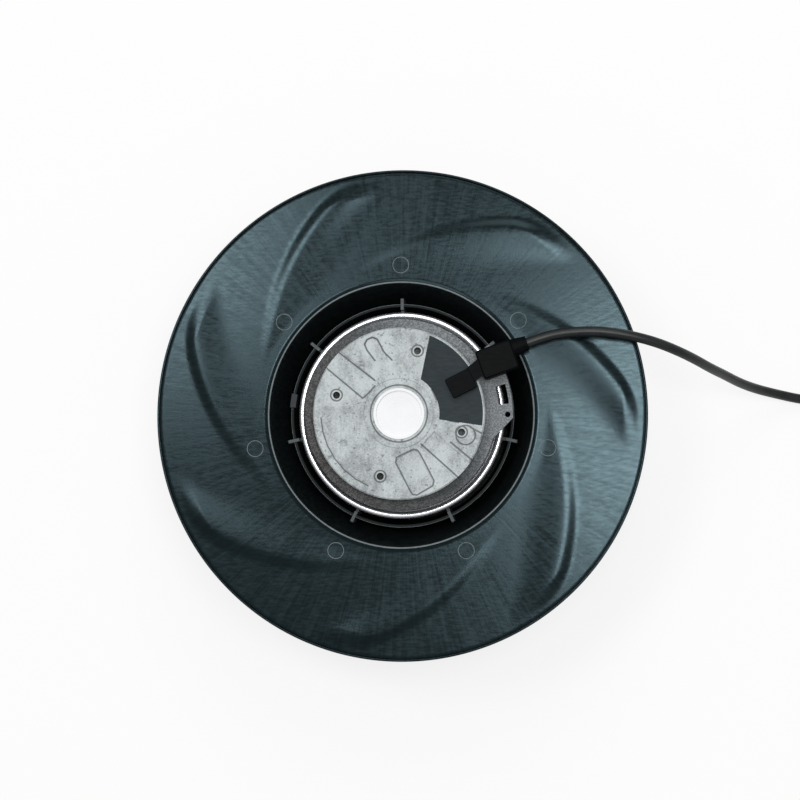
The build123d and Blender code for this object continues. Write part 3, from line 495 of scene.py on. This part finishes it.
COOL = (0.6, 0.89, 1.0)
IMPELLER = MouldedPlastic(
    "impeller_plastic", (0.0035, 0.0068, 0.008), (0.0013, 0.0026, 0.003), 0.21, specular=0.25, tint=COOL
)
# Lighter copy of the impeller plastic: painted highlight on the recess lip, the sleeve chamfer and the ejector-mark
# rims.
LIT_EDGE = MouldedPlastic("painted_highlight_edge", (0.17, 0.2, 0.21), (0.1, 0.125, 0.13), 0.45, specular=0.2)
# Light grey copy of the black impeller plastic on the hub ribs: painted highlight.
LIT_RIB = MouldedPlastic("rib_painted_highlight", (0.1, 0.115, 0.12), (0.06, 0.07, 0.074), 0.5, specular=0.15, streak=0.2)
HUB = MouldedPlastic("hub_plastic", (0.008, 0.011, 0.012), (0.003, 0.0045, 0.005), 0.5, specular=0.1, streak=0.2)
CASTING = MotorCasting(
    "cast_aluminium",
    (0.46, 0.5, 0.505),
    (0.19, 0.21, 0.214),
    0.55,
    0.1,
    # Ends of the painted shade strokes along the relief edges, in millimetres.
    shade_strokes=(
        (-28.03, 28.48, -11.21, 15.36),
        (-33.05, 20.76, -16.62, 7.03),
        (-16.62, 7.03, -14.14, 9.19),
        (-14.14, 9.19, -11.05, 12.74),
        (-11.05, 24.39, -14.75, 29.25),
        (-14.75, 29.25, -15.84, 31.87),
        (-15.84, 31.87, -14.75, 34.03),
        (-14.75, 34.03, -12.21, 35.19),
        (-12.21, 35.19, -9.89, 34.19),
        (-9.89, 34.19, -7.04, 28.48),
        (-7.04, 28.48, -3.19, 24.62),
        (23.81, -13.26, 33.84, -21.67),
        (10.16, -14.03, 27.68, -29.77),
        (-1.03, -20.13, 6.68, -16.35),
        (6.68, -16.35, 8.61, -16.89),
        (8.61, -16.89, 9.93, -18.82),
        (9.93, -18.82, 16.11, -30.78),
        (16.11, -30.78, 15.56, -33.09),
        (15.56, -33.09, 8.38, -37.33),
        (8.38, -37.33, 6.3, -37.1),
        (6.3, -37.1, 5.0, -35.02),
        (5.0, -35.02, -1.49, -22.44),
        (-1.49, -22.44, -1.03, -20.13),
        (15.17, 10.89, 17.33, 6.26),
        (23.27, -3.39, 27.36, -4.16),
        (32.77, -6.47, 37.94, -9.17),
    ),
    # Painted shade rings round the bearing cap, the four screw holes and a larger ring near one of them.
    rings=(
        (0.0, 0.0, 13.1),
        (8.57, 28.75, 2.65),
        (-28.75, 8.57, 2.65),
        (-8.57, -28.75, 2.65),
        (28.75, -8.57, 2.65),
        (30.61, -9.94, 4.4),
    ),
)
CAN_STEEL = TurnedMetal("zinc_steel", (0.86, 0.88, 0.9), (0.6, 0.63, 0.68), 0.27, 0.92)
CAP = TurnedMetal("cap_white", (0.72, 0.73, 0.74), (0.6, 0.61, 0.62), 0.5, 0.1, rings=2600.0)
COVER = MouldedPlastic("cover_plastic", (0.03, 0.041, 0.045), (0.016, 0.022, 0.025), 0.55, specular=0.1, streak=0.1)
GLAND = MouldedPlastic("gland_plastic", (0.003, 0.0035, 0.004), (0.0012, 0.0015, 0.0018), 0.55, specular=0.05, streak=0.1)
CLIP = TurnedMetal("clip_black", (0.03, 0.035, 0.038), (0.012, 0.015, 0.017), 0.5, 0.2, specular=0.15)
SHEATH = CordSheath("cord_sheath", (0.01, 0.012, 0.013), (0.004, 0.005, 0.0055), 0.4, specular=0.35)
WIRE = Finish("conductor_insulation", (0.1, 0.17, 0.42), (0.05, 0.09, 0.26), 0.4)
TINNED = Finish("tinned_metal", (0.72, 0.72, 0.72), (0.5, 0.5, 0.51), 0.3, 0.9)
LAMINATION = TurnedMetal("lamination_steel", (0.3, 0.31, 0.33), (0.12, 0.12, 0.13), 0.5, 0.8)
CAGE = CastMetal("cage_aluminium", (0.66, 0.67, 0.69), (0.4, 0.41, 0.42), 0.45, 0.85)
GROUND = TurnedMetal("bearing_steel", (0.7, 0.71, 0.73), (0.5, 0.51, 0.53), 0.2, 1.0)
SPRING = TurnedMetal("spring_steel", (0.4, 0.41, 0.43), (0.22, 0.22, 0.24), 0.35, 0.9)
INSULATOR = Finish("insulator_plastic", (0.72, 0.7, 0.62), (0.58, 0.56, 0.48), 0.5)
COPPER = TurnedMetal("copper_wire", (0.62, 0.24, 0.09), (0.36, 0.12, 0.05), 0.35, 0.8, rings=1500.0)
CUTOUT = Finish("cutout_case", (0.08, 0.08, 0.085), (0.04, 0.04, 0.045), 0.45)
CAGE_STEEL = TurnedMetal("cage_steel", (0.5, 0.51, 0.53), (0.3, 0.31, 0.33), 0.4, 0.9)


def polar_point(radius: float, angle: float) -> tuple[float, float]:
    """Point at a radius and an angle in degrees."""
    return radius * math.cos(math.radians(angle)), radius * math.sin(math.radians(angle))


def smooth(mesh: bpy.types.Mesh, angle: float = 32.0) -> None:
    """Shade a mesh smooth, with sharp edges above an angle in degrees."""
    mesh.polygons.foreach_set("use_smooth", [True] * len(mesh.polygons))
    mesh.set_sharp_from_angle(angle=math.radians(angle))
    mesh.update()


def arc(
    center: tuple[float, float], radius: float, start: float, end: float, steps: int
) -> list[tuple[float, float]]:
    """Points of an arc in the section plane.

    Args:
        center: Centre of the arc, as radius and height.
        radius: Radius of the arc.
        start: First angle in degrees.
        end: Last angle in degrees.
        steps: Number of chords.

    Returns:
        The points, both ends included.
    """
    points = []
    for step in range(steps + 1):
        turn = math.radians(start + (end - start) * step / steps)
        points.append((center[0] + radius * math.cos(turn), center[1] + radius * math.sin(turn)))
    return points


def fillet(
    before: tuple[float, float], corner: tuple[float, float], after: tuple[float, float], radius: float
) -> list[tuple[float, float]]:
    """Round one corner of a section.

    Args:
        before: Point before the corner.
        corner: The corner itself.
        after: Point after the corner.
        radius: Radius of the fillet.

    Returns:
        Points of the rounded corner.
    """
    here = Vector(corner)
    first = (Vector(before) - here).normalized()
    second = (Vector(after) - here).normalized()
    half = first.angle(second) / 2
    reach = radius / math.tan(half)
    middle = here + (first + second).normalized() * (radius / math.sin(half))
    start, end = here + first * reach - middle, here + second * reach - middle
    points = []
    for step in range(9):
        share = step / 8
        spoke = start.lerp(end, share).normalized() * radius
        points.append(tuple(middle + spoke))
    return points


@dataclass
class Lathe:
    """A closed section that is turned round the motor axis, with an optional change of height."""

    name: str
    section: list[tuple[float, float]]
    segments: int = 360
    lift: Callable[[float, float, float], float] | None = None

    def build(self, finish: Finish) -> bpy.types.Object:
        """Make the object.

        Args:
            finish: Finish of the whole surface.

        Returns:
            The object, linked and shaded.
        """
        verts, faces = [], []
        count = len(self.section)
        for segment in range(self.segments):
            turn = 2 * math.pi * segment / self.segments
            for radius, height in self.section:
                x, y = radius * math.cos(turn), radius * math.sin(turn)
                rise = self.lift(x, y, height) if self.lift else 0.0
                verts.append((x * MM, y * MM, (height + rise) * MM))
        for segment in range(self.segments):
            here = segment * count
            there = ((segment + 1) % self.segments) * count
            for point in range(count):
                after = (point + 1) % count
                faces.append((here + point, there + point, there + after, here + after))
        return make_object(self.name, verts, faces, finish)


def make_object(
    name: str, verts: Sequence[Sequence[float]], faces: Sequence[Sequence[int]], finish: Finish
) -> bpy.types.Object:
    """Make a closed mesh object with outward normals.

    Args:
        name: Name of the object.
        verts: Points in metres.
        faces: Faces by point numbers.
        finish: Finish of the whole surface.

    Returns:
        The object, linked and shaded.
    """
    mesh = bpy.data.meshes.new(name)
    mesh.from_pydata([tuple(vert) for vert in verts], [], [tuple(face) for face in faces])
    shell = bmesh.new()
    shell.from_mesh(mesh)
    bmesh.ops.remove_doubles(shell, verts=shell.verts, dist=1e-7)
    bmesh.ops.recalc_face_normals(shell, faces=shell.faces)
    shell.to_mesh(mesh)
    shell.free()
    smooth(mesh)
    mesh.materials.append(finish.material())
    made = bpy.data.objects.new(name, mesh)
    bpy.context.scene.collection.objects.link(made)
    return made


def place(piece: bpy.types.Object, body: Body, *nodes: str) -> bpy.types.Object:
    """Let a piece ride on a body and stand for CAD nodes.

    Args:
        piece: The finished piece.
        body: Body that carries it.
        nodes: CAD nodes that it stands for.

    Returns:
        The piece.
    """
    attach(piece, body.value)
    if nodes:
        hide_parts(*nodes)
    log.info("%s: %d faces on %s", piece.name, len(getattr(piece.data, "polygons", [])), body.value)
    return piece


def join_into(first: bpy.types.Object, others: Sequence[bpy.types.Object]) -> bpy.types.Object:
    """Join meshes into the first one.

    Args:
        first: Object that stays.
        others: Objects that go into it.

    Returns:
        The joined object.
    """
    bpy.ops.object.select_all(action="DESELECT")
    for piece in (first, *others):
        piece.select_set(True)
    bpy.context.view_layer.objects.active = first
    bpy.ops.object.join()
    return first


@dataclass
class RingArray:
    """Geometry Nodes tree that repeats a piece round the motor axis."""

    name: str
    count: int
    start: float

    def apply(self, piece: bpy.types.Object, finish: Finish) -> bpy.types.Object:
        """Repeat the piece and turn the result into a plain mesh.

        Args:
            piece: Piece to repeat; it is removed.
            finish: Finish of the copies.

        Returns:
            One object with every copy.
        """
        tree = bpy.data.node_groups.new(self.name, "GeometryNodeTree")
        face = tree.interface
        face.new_socket("Geometry", in_out="INPUT", socket_type="NodeSocketGeometry")
        count = face.new_socket("Count", in_out="INPUT", socket_type="NodeSocketInt")
        start = face.new_socket("Start Angle", in_out="INPUT", socket_type="NodeSocketFloat")
        surface = face.new_socket("Finish", in_out="INPUT", socket_type="NodeSocketMaterial")
        face.new_socket("Geometry", in_out="OUTPUT", socket_type="NodeSocketGeometry")
        links, nodes = tree.links, tree.nodes
        group_in, group_out = nodes.new("NodeGroupInput"), nodes.new("NodeGroupOutput")
        points = nodes.new("GeometryNodePoints")
        links.new(group_in.outputs["Count"], points.inputs["Count"])
        index = nodes.new("GeometryNodeInputIndex")
        step = nodes.new("ShaderNodeMath")
        step.operation = "DIVIDE"
        step.inputs[0].default_value = 2 * math.pi
        links.new(group_in.outputs["Count"], step.inputs[1])
        turn = nodes.new("ShaderNodeMath")
        turn.operation = "MULTIPLY_ADD"
        links.new(index.outputs[0], turn.inputs[0])
        links.new(step.outputs[0], turn.inputs[1])
        links.new(group_in.outputs["Start Angle"], turn.inputs[2])
        euler = nodes.new("ShaderNodeCombineXYZ")
        links.new(turn.outputs[0], euler.inputs[2])
        copies = nodes.new("GeometryNodeInstanceOnPoints")
        links.new(points.outputs[0], copies.inputs["Points"])
        links.new(group_in.outputs["Geometry"], copies.inputs["Instance"])
        links.new(euler.outputs[0], copies.inputs["Rotation"])
        real = nodes.new("GeometryNodeRealizeInstances")
        links.new(copies.outputs[0], real.inputs[0])
        dress = nodes.new("GeometryNodeSetMaterial")
        links.new(real.outputs[0], dress.inputs["Geometry"])
        links.new(group_in.outputs["Finish"], dress.inputs["Material"])
        links.new(dress.outputs[0], group_out.inputs[0])
        modifier = piece.modifiers.new(self.name, "NODES")
        modifier.node_group = tree
        modifier[count.identifier] = self.count
        modifier[start.identifier] = math.radians(self.start)
        modifier[surface.identifier] = finish.material()
        baked = bpy.data.meshes.new_from_object(piece.evaluated_get(bpy.context.evaluated_depsgraph_get()))
        smooth(baked)
        made = bpy.data.objects.new(self.name, baked)
        bpy.context.scene.collection.objects.link(made)
        bpy.data.objects.remove(piece)
        return made


@dataclass
class Studio:
    """Camera at the photograph's angle, plain lamps, world and floor. Lengths in metres."""

    eye: tuple[float, float, float] = (0.08315, -0.05037, 1.17133)
    target: tuple[float, float, float] = (-0.00039, 0.00685, 0.076)
    lens: float = 106.79
    ambient: float = 0.38
    mirrored: float = 0.5
    lamps: list[tuple[str, tuple[float, float, float], float, float]] = field(
        default_factory=lambda: [
            ("key_lamp", (0.22, 0.05, 1.5), 0.4, 8.0),
            ("side_lamp", (-0.38, 0.26, 1.4), 0.35, 4.5),
            ("top_lamp", (0.1, 1.25, 1.5), 1.0, 8.0),
        ]
    )

    def camera(self) -> None:
        """Place the camera."""
        eye, target = Vector(self.eye), Vector(self.target)
        ahead = (target - eye).normalized()
        right = ahead.cross(Vector((0, 1, 0))).normalized()
        up = right.cross(ahead)
        data = bpy.data.cameras.new("photo_camera")
        data.lens = self.lens
        data.sensor_width = 36.0
        camera = bpy.data.objects.new("photo_camera", data)
        camera.matrix_world = Matrix.Translation(eye) @ Matrix((right, up, -ahead)).transposed().to_4x4()
        bpy.context.scene.collection.objects.link(camera)
        bpy.context.scene.camera = camera

    def light(self) -> None:
        """Add the lamps and the world."""
        for name, spot, size, power in self.lamps:
            data = bpy.data.lights.new(name, "AREA")
            data.shape = "DISK"
            data.size = size
            data.energy = power
            lamp = bpy.data.objects.new(name, data)
            aim = Vector((0, 0, 0.06)) - Vector(spot)
            lamp.rotation_euler = aim.to_track_quat("-Z", "Y").to_euler()
            lamp.location = spot
            bpy.context.scene.collection.objects.link(lamp)
        world = bpy.data.worlds.new("studio_world")
        world.use_nodes = True
        graph = Graph(world.node_tree)
        path = graph.node("ShaderNodeLightPath", {}, {})
        seen = graph.val(path, "Is Camera Ray") + graph.val(path, "Is Transmission Ray")
        gloss = graph.val(path, "Is Glossy Ray")
        level = seen * (1.0 - self.ambient) + gloss * (self.mirrored - self.ambient) + self.ambient
        sky = graph.node("ShaderNodeBackground", {}, {"Color": (1, 1, 1, 1), "Strength": level})
        graph.node("ShaderNodeOutputWorld", {}, {"Surface": sky.outputs[0]})
        bpy.context.scene.world = world

    def floor(self) -> None:
        """Add the pale floor, which keeps a faint shadow."""
        mesh = bpy.data.meshes.new("studio_floor")
        reach = 6.0
        corners = [(-reach, -reach, 0), (reach, -reach, 0), (reach, reach, 0), (-reach, reach, 0)]
        mesh.from_pydata([(x, y, -0.0004) for x, y, _ in corners], [], [(0, 1, 2, 3)])
        made = bpy.data.materials.new("studio_floor")
        made.use_nodes = True
        graph = Graph(made.node_tree)
        path = graph.node("ShaderNodeLightPath", {}, {})
        pale = graph.node("ShaderNodeBsdfDiffuse", {}, {"Color": (0.88, 0.88, 0.88, 1)})
        glow = graph.node("ShaderNodeEmission", {}, {"Color": (1, 1, 1, 1), "Strength": 1.0})
        share = graph.val(path, "Is Camera Ray") * 0.8
        both = graph.node("ShaderNodeMixShader", {}, {0: share, 1: pale.outputs[0], 2: glow.outputs[0]})
        graph.node("ShaderNodeOutputMaterial", {}, {"Surface": both.outputs[0]})
        mesh.materials.append(made)
        floor = bpy.data.objects.new("studio_floor", mesh)
        bpy.context.scene.collection.objects.link(floor)

    def build(self) -> None:
        """Set the view transform, the lamps, the world and the floor up."""
        bpy.context.scene.view_settings.view_transform = "Standard"
        self.light()
        self.floor()


@dataclass
class PowerCord:
    """Cord on one smooth spline with its floor coil. Lengths in millimetres."""

    radius: float = 2.3
    route: list[tuple[float, float, float]] = field(
        default_factory=lambda: [
            (58.77, 32.30, 85.5),
            (67.22, 35.38, 85.5),
            (77.5, 37.1, 86.1),
            (90.5, 37.6, 86.4),
            (104.0, 35.9, 85.9),
            (116.5, 32.9, 83.6),
            (127.0, 29.2, 77.6),
            (136.0, 25.6, 68.0),
            (143.5, 22.3, 56.5),
            (150.8, 19.9, 43.2),
            (158.4, 17.0, 30.4),
            (167.0, 14.6, 19.0),
            (177.5, 12.6, 9.6),
            (188.2, 10.5, 4.4),
            (201.0, 8.7, 2.3),
            (213.0, 8.7, 2.3),
        ]
    )
    coil_center: tuple[float, float] = (230.0, 36.0)
    outer_turn: float = 27.3
    inner_turn: float = 22.7
    end_angle: float = 195.0
    length: float = 0.497

    def coil_points(self) -> list[tuple[float, float, float]]:
        """Points of the two flat turns, twenty to the turn."""
        points = []
        angle = -90.0
        while angle < 360.0 + self.end_angle + 1e-6:
            share = min(1.0, max(0.0, (angle - 215.0) / 60.0))
            ease = share * share * (3 - 2 * share)
            reach = self.outer_turn + (self.inner_turn - self.outer_turn) * ease
            swell = 1.0 / math.cos(math.radians(9.0)) ** 0.5
            x, y = polar_point(reach * swell, angle)
            points.append((self.coil_center[0] + x, self.coil_center[1] + y, self.radius))
            angle += 15.0
        return points

    def build(self) -> None:
        points = self.route + self.coil_points()
        curve = bpy.data.curves.new("mains_cord", "CURVE")
        curve.dimensions = "3D"
        curve.resolution_u = 8
        curve.bevel_depth = self.radius * MM
        curve.bevel_resolution = 5
        curve.use_fill_caps = True
        line = curve.splines.new("NURBS")
        line.points.add(len(points) - 1)
        for point, (x, y, z) in zip(line.points, points):
            point.co = (x * MM, y * MM, z * MM, 1.0)
        line.order_u = 3
        line.use_endpoint_u = True
        curve.materials.append(SHEATH.material())
        cord = bpy.data.objects.new("mains_cord", curve)
        bpy.context.scene.collection.objects.link(cord)
        place(cord, Body.STATOR, "power_cord", "cord_coil")


@dataclass
class BackPlate:
    """Back plate of the impeller with its rim, crests, hub wall, sleeve and ribs. Millimetres."""

    rim: float = 114.0
    top: float = 76.0
    wall: float = 2.6
    lip: float = 1.2
    recess: float = 60.9
    can: float = 46.0
    foot: float = 25.0
    sleeve: float = 52.2
    sleeve_top: float = 67.1
    blades: int = 7
    first_blade: float = 47.4
    tip: float = 111.5
    camber: float = 101.0
    camber_offset: float = 50.2
    crest_height: float = 0.85
    crest_outer: float = 6.5
    crest_inner: tuple[float, float] = (8.0, 24.0)
    mark_circle: float = 69.7
    mark_angle: float = 38.6

    def camber_centers(self) -> list[tuple[float, float]]:
        """Centres of the blades' camber arcs."""
        cosine = (self.tip**2 + self.camber_offset**2 - self.camber**2) / (2 * self.tip * self.camber_offset)
        first = self.first_blade - math.degrees(math.acos(cosine))
        return [polar_point(self.camber_offset, first + 360 * k / self.blades) for k in range(self.blades)]

    def crest(self, centers: list[tuple[float, float]]) -> Callable[[float, float, float], float]:
        """Height of the moulded crests over the flat plate.

        Args:
            centers: Centres of the camber arcs.

        Returns:
            A function of a point on the plate that gives its rise.
        """
        cosines = [(c, math.hypot(*c)) for c in centers]

        def lift(x: float, y: float, height: float) -> float:
            """Rise at one point."""
            radius = math.hypot(x, y)
            if height < self.top - 0.01 or not 62.5 < radius < 112.7:
                return 0.0
            share = min(1.0, max(0.0, (109.5 - radius) / (109.5 - 68.0)))
            size = self.crest_height * (1 - share**2.2) * min(1.0, 0.1 + 6.0 * share)
            if radius > 109.5:
                size *= max(0.0, (112.7 - radius) / 3.2)
            inner = self.crest_inner[0] + (self.crest_inner[1] - self.crest_inner[0]) * share**0.7
            rise = 0.0
            for (cx, cy), offset in cosines:
                if (x * cy - y * cx) > 0:
                    continue
                side = math.hypot(x - cx, y - cy) - self.camber
                width = self.crest_outer if side > 0 else inner
                if abs(side) < width:
                    rise = max(rise, size * math.cos(math.pi / 2 * side / width) ** 2)
            return rise

        return lift

    def section(self) -> list[tuple[float, float]]:
        """Closed section, from the rim over the plate, down the recess and back underneath."""
        under = self.top - self.wall
        slope = (self.recess - self.can) / (self.top - self.foot)
        inner = self.recess - slope * (self.top - 33.0)
        points = [(self.rim, under - 1.0), (self.rim, self.top + 0.45)]
        points += arc((self.rim - self.lip / 2, self.top + 0.4), self.lip / 2 - 0.05, 25, 155, 6)
        points += [(self.rim - self.lip, self.top + 0.35), (self.rim - self.lip - 0.15, self.top - 0.1)]
        steps = 44
        edge_in, edge_out = self.recess + 2.0, self.rim - self.lip - 0.5
        points += [(edge_out + (edge_in - edge_out) * k / steps, self.top) for k in range(steps + 1)]
        points += arc((self.recess + 0.75, self.top + 0.05), 0.6, 55, 125, 4)
        points += [(self.recess + 0.1, self.top + 0.1), (self.recess - 0.1, self.top - 0.6)]
        points += [(inner + (self.recess - inner) * k / 8, 33.0 + (self.top - 33.0) * k / 8) for k in range(7, 0, -1)]
        points += [(inner, 33.0), (self.can, 33.0), (self.can, self.foot), (self.can + 2.0, self.foot)]
        points += fillet((self.can + 2.0, self.foot), (self.recess + 2.0, under), (self.rim, under), 3.5)
        points += [(self.rim - self.lip, under), (self.rim - self.lip, under - 1.0)]
        return points

    @staticmethod
    def paint(piece: bpy.types.Object, *zones: tuple[float, float, float, Finish]) -> None:
        """Give faces between two radii and above a height a finish of their own.

        Args:
            piece: Piece to paint.
            zones: Inner radius, outer radius and height in millimetres, and the finish.
        """
        for place, (inner, outer, low, finish) in enumerate(zones, 1):
            piece.data.materials.append(finish.material())
            for polygon in piece.data.polygons:
                reach = math.hypot(polygon.center.x, polygon.center.y) / MM
                if inner < reach < outer and polygon.center.z / MM > low:
                    polygon.material_index = place

    def sleeve_ring(self) -> bpy.types.Object:
        """Sleeve round the can."""
        slope = (self.recess - self.can) / (self.top - self.foot)
        foot = self.top - (self.recess - self.sleeve) / slope - 2.0
        inner = self.sleeve - 1.4
        section = [(self.sleeve, foot), (self.sleeve, self.sleeve_top - 0.25)]
        section += [(self.sleeve - 0.25, self.sleeve_top), (inner + 0.25, self.sleeve_top)]
        section += [(inner, self.sleeve_top - 0.25), (inner, foot)]
        sleeve = Lathe("hub_sleeve", section).build(HUB)
        # The sleeve's top outer chamfer gets the painted highlight line.
        self.paint(sleeve, (self.sleeve - 0.3, self.sleeve - 0.01, self.sleeve_top - 0.2, LIT_EDGE))
        return sleeve

    def rib(self) -> bpy.types.Object:
        """One rib of the hub along +X."""
        low, step, high = self.sleeve_top - 24.0, self.sleeve_top - 4.0, self.sleeve_top + 0.3
        near, inset, far, half = self.can + 0.02, self.sleeve - 2.6, self.sleeve + 2.8, 0.7
        side = [(near, low), (far, low), (far, high - 0.4), (far - 0.4, high), (inset, high), (inset, step), (near, step)]
        count = len(side)
        verts = [(x * MM, y * MM, z * MM) for y in (-half, half) for x, z in side]
        faces = [tuple(range(count)), tuple(range(2 * count - 1, count - 1, -1))]
        faces += [(k, (k + 1) % count, count + (k + 1) % count, count + k) for k in range(count)]
        # The rib takes the lighter painted highlight finish.
        return make_object("hub_rib", verts, faces, LIT_RIB)

    def mark(self) -> bpy.types.Object:
        """One ejector mark: the fine raised edge of a round pin."""
        section = [(3.55, -0.05), (3.85, -0.05), (3.85, 0.04), (3.77, 0.09), (3.63, 0.09), (3.55, 0.04)]
        # The mark's rim carries the painted highlight finish.
        edge = Lathe("ejector_mark", section, 48).build(LIT_EDGE)
        edge.data.transform(Matrix.Translation((self.mark_circle * MM, 0, self.top * MM)))
        rise = self.crest(self.camber_centers())
        turn = Matrix.Rotation(math.radians(self.mark_angle), 4, "Z")
        for vertex in edge.data.vertices:
            x, y, _ = turn @ vertex.co / MM
            vertex.co.z += rise(x, y, self.top) * MM
        return edge

    def build(self) -> None:
        """Make the back plate."""
        skin = Lathe("back_plate_skin", self.section(), 600, self.crest(self.camber_centers())).build(IMPELLER)
        edge = self.recess + 0.3
        # Inside the recess the plastic takes the hub finish; a 1 mm band at the recess lip is a painted highlight.
        self.paint(skin, (0, edge, 0, HUB), (edge, edge + 1.0, self.top - 0.3, LIT_EDGE))
        place(skin, Body.ROTOR, "impeller_back_plate", "impeller_hub")
        # The rib copies keep the painted highlight finish.
        ribs = RingArray("hub_ribs", self.blades, self.mark_angle).apply(self.rib(), LIT_RIB)
        place(ribs, Body.ROTOR)
        place(self.sleeve_ring(), Body.ROTOR)
        marks = RingArray("ejector_marks", self.blades, self.mark_angle).apply(self.mark(), LIT_EDGE)
        place(marks, Body.ROTOR)


@dataclass
class Shroud:
    """Inlet collar and front cone of the impeller. Millimetres."""

    bore: float = 75.0
    wall: float = 2.2
    start: float = 18.5
    rim: float = 114.0
    rim_height: float = 29.0

    def build(self) -> None:
        """Make the shroud as one smooth turned skin."""
        low = self.start - self.wall - 0.8
        rim_low = self.rim_height - self.wall - 1.6
        outer = self.bore + self.wall
        section = [(self.bore, 0.3)]
        section += [(self.bore, self.start * k / 4) for k in range(1, 2)]
        section += fillet((self.bore, 0), (self.bore, self.start), (self.rim, self.rim_height), 13.0)
        section += [(self.rim - 0.2, self.rim_height), (self.rim, self.rim_height - 0.25), (self.rim, rim_low)]
        section += [(self.rim - self.wall, rim_low), (self.rim - self.wall, self.rim_height - self.wall - 0.8)]
        section += fillet((self.rim - self.wall, self.rim_height - self.wall - 0.8), (outer, low), (outer, 2.0), 10.8)
        section += [(outer, 2.3), (outer + 0.3, 2.0), (outer + 1.2, 2.0), (outer + 1.2, 0.3)]
        section += [(outer + 0.9, 0.0), (self.bore + 0.3, 0.0)]
        skin = Lathe("shroud_skin", section, 480).build(IMPELLER)
        place(skin, Body.ROTOR, "impeller_shroud")


@dataclass
class RotorCan:
    """Drawn steel can with its rolled rim. Millimetres."""

    radius: float = 46.0
    wall: float = 1.0
    floor: float = 20.0
    rim_top: float = 70.5
    bead: float = 1.6

    def build(self) -> None:
        """Make the can as one smooth turned skin."""
        center = (self.radius - self.wall + self.bead, self.rim_top - self.bead)
        section = [(4.0, self.floor), (self.radius - 4.0, self.floor)]
        section += arc((self.radius - 4.0, self.floor + 4.0), 4.0, -80, 0, 6)
        section += arc(center, self.bead, -112, 180, 18)
        section += [(self.radius - self.wall, center[1] - 6.0)]
        section += arc((self.radius - 4.0, self.floor + 4.0), 3.0, 0, -90, 6)
        section += [(8.5, self.floor + 1.0), (8.5, self.floor + 10.0), (4.0, self.floor + 10.0)]
        skin = Lathe("can_skin", section, 360).build(CAN_STEEL)
        place(skin, Body.ROTOR, "rotor_can")


@dataclass
class CarriedNodes:
    """CAD nodes that stay and only get their finish."""

    finishes: dict[str, Finish] = field(
        default_factory=lambda: {
            "stator_flange": CASTING,
            "bearing_cap": CAP,
            "terminal_cover": COVER,
            "cable_gland": GLAND,
            "lead_boot": GLAND,
            "cord_conductors": WIRE,
            "stator_leads": WIRE,
            "cord_ferrules": TINNED,
            "rotor_core": LAMINATION,
            "stator_core": LAMINATION,
            "rotor_cage": CAGE,
            "rotor_shaft": GROUND,
            "shaft_circlip": SPRING,
            "balance_clip": CLIP,
            "bearing_spring": SPRING,
            "upper_end_insulator": INSULATOR,
            "lower_end_insulator": INSULATOR,
            "winding_coils": COPPER,
            "thermal_cutout": CUTOUT,
        }
    )

    def dress(self) -> None:
        """Give every carried node its finish."""
        for name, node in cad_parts.items():
            finish = self.finishes.get(name)
            if finish is None and "bearing_cage" in name:
                finish = CAGE_STEEL
            elif finish is None and "bearing" in name:
                finish = GROUND
            elif finish is None:
                finish = IMPELLER
            node.data.materials.clear()
            node.data.materials.append(finish.material())
        log.info("dressed %d CAD nodes", len(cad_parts))


def main() -> None:
    """Build the dressed fan in order."""
    logging.basicConfig(level=logging.INFO, format="%(message)s")
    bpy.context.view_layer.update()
    studio = Studio()
    studio.camera()
    PowerCord().build()
    CarriedNodes().dress()
    BackPlate().build()
    Shroud().build()
    RotorCan().build()
    studio.build()


if __name__ == "__main__":
    main()
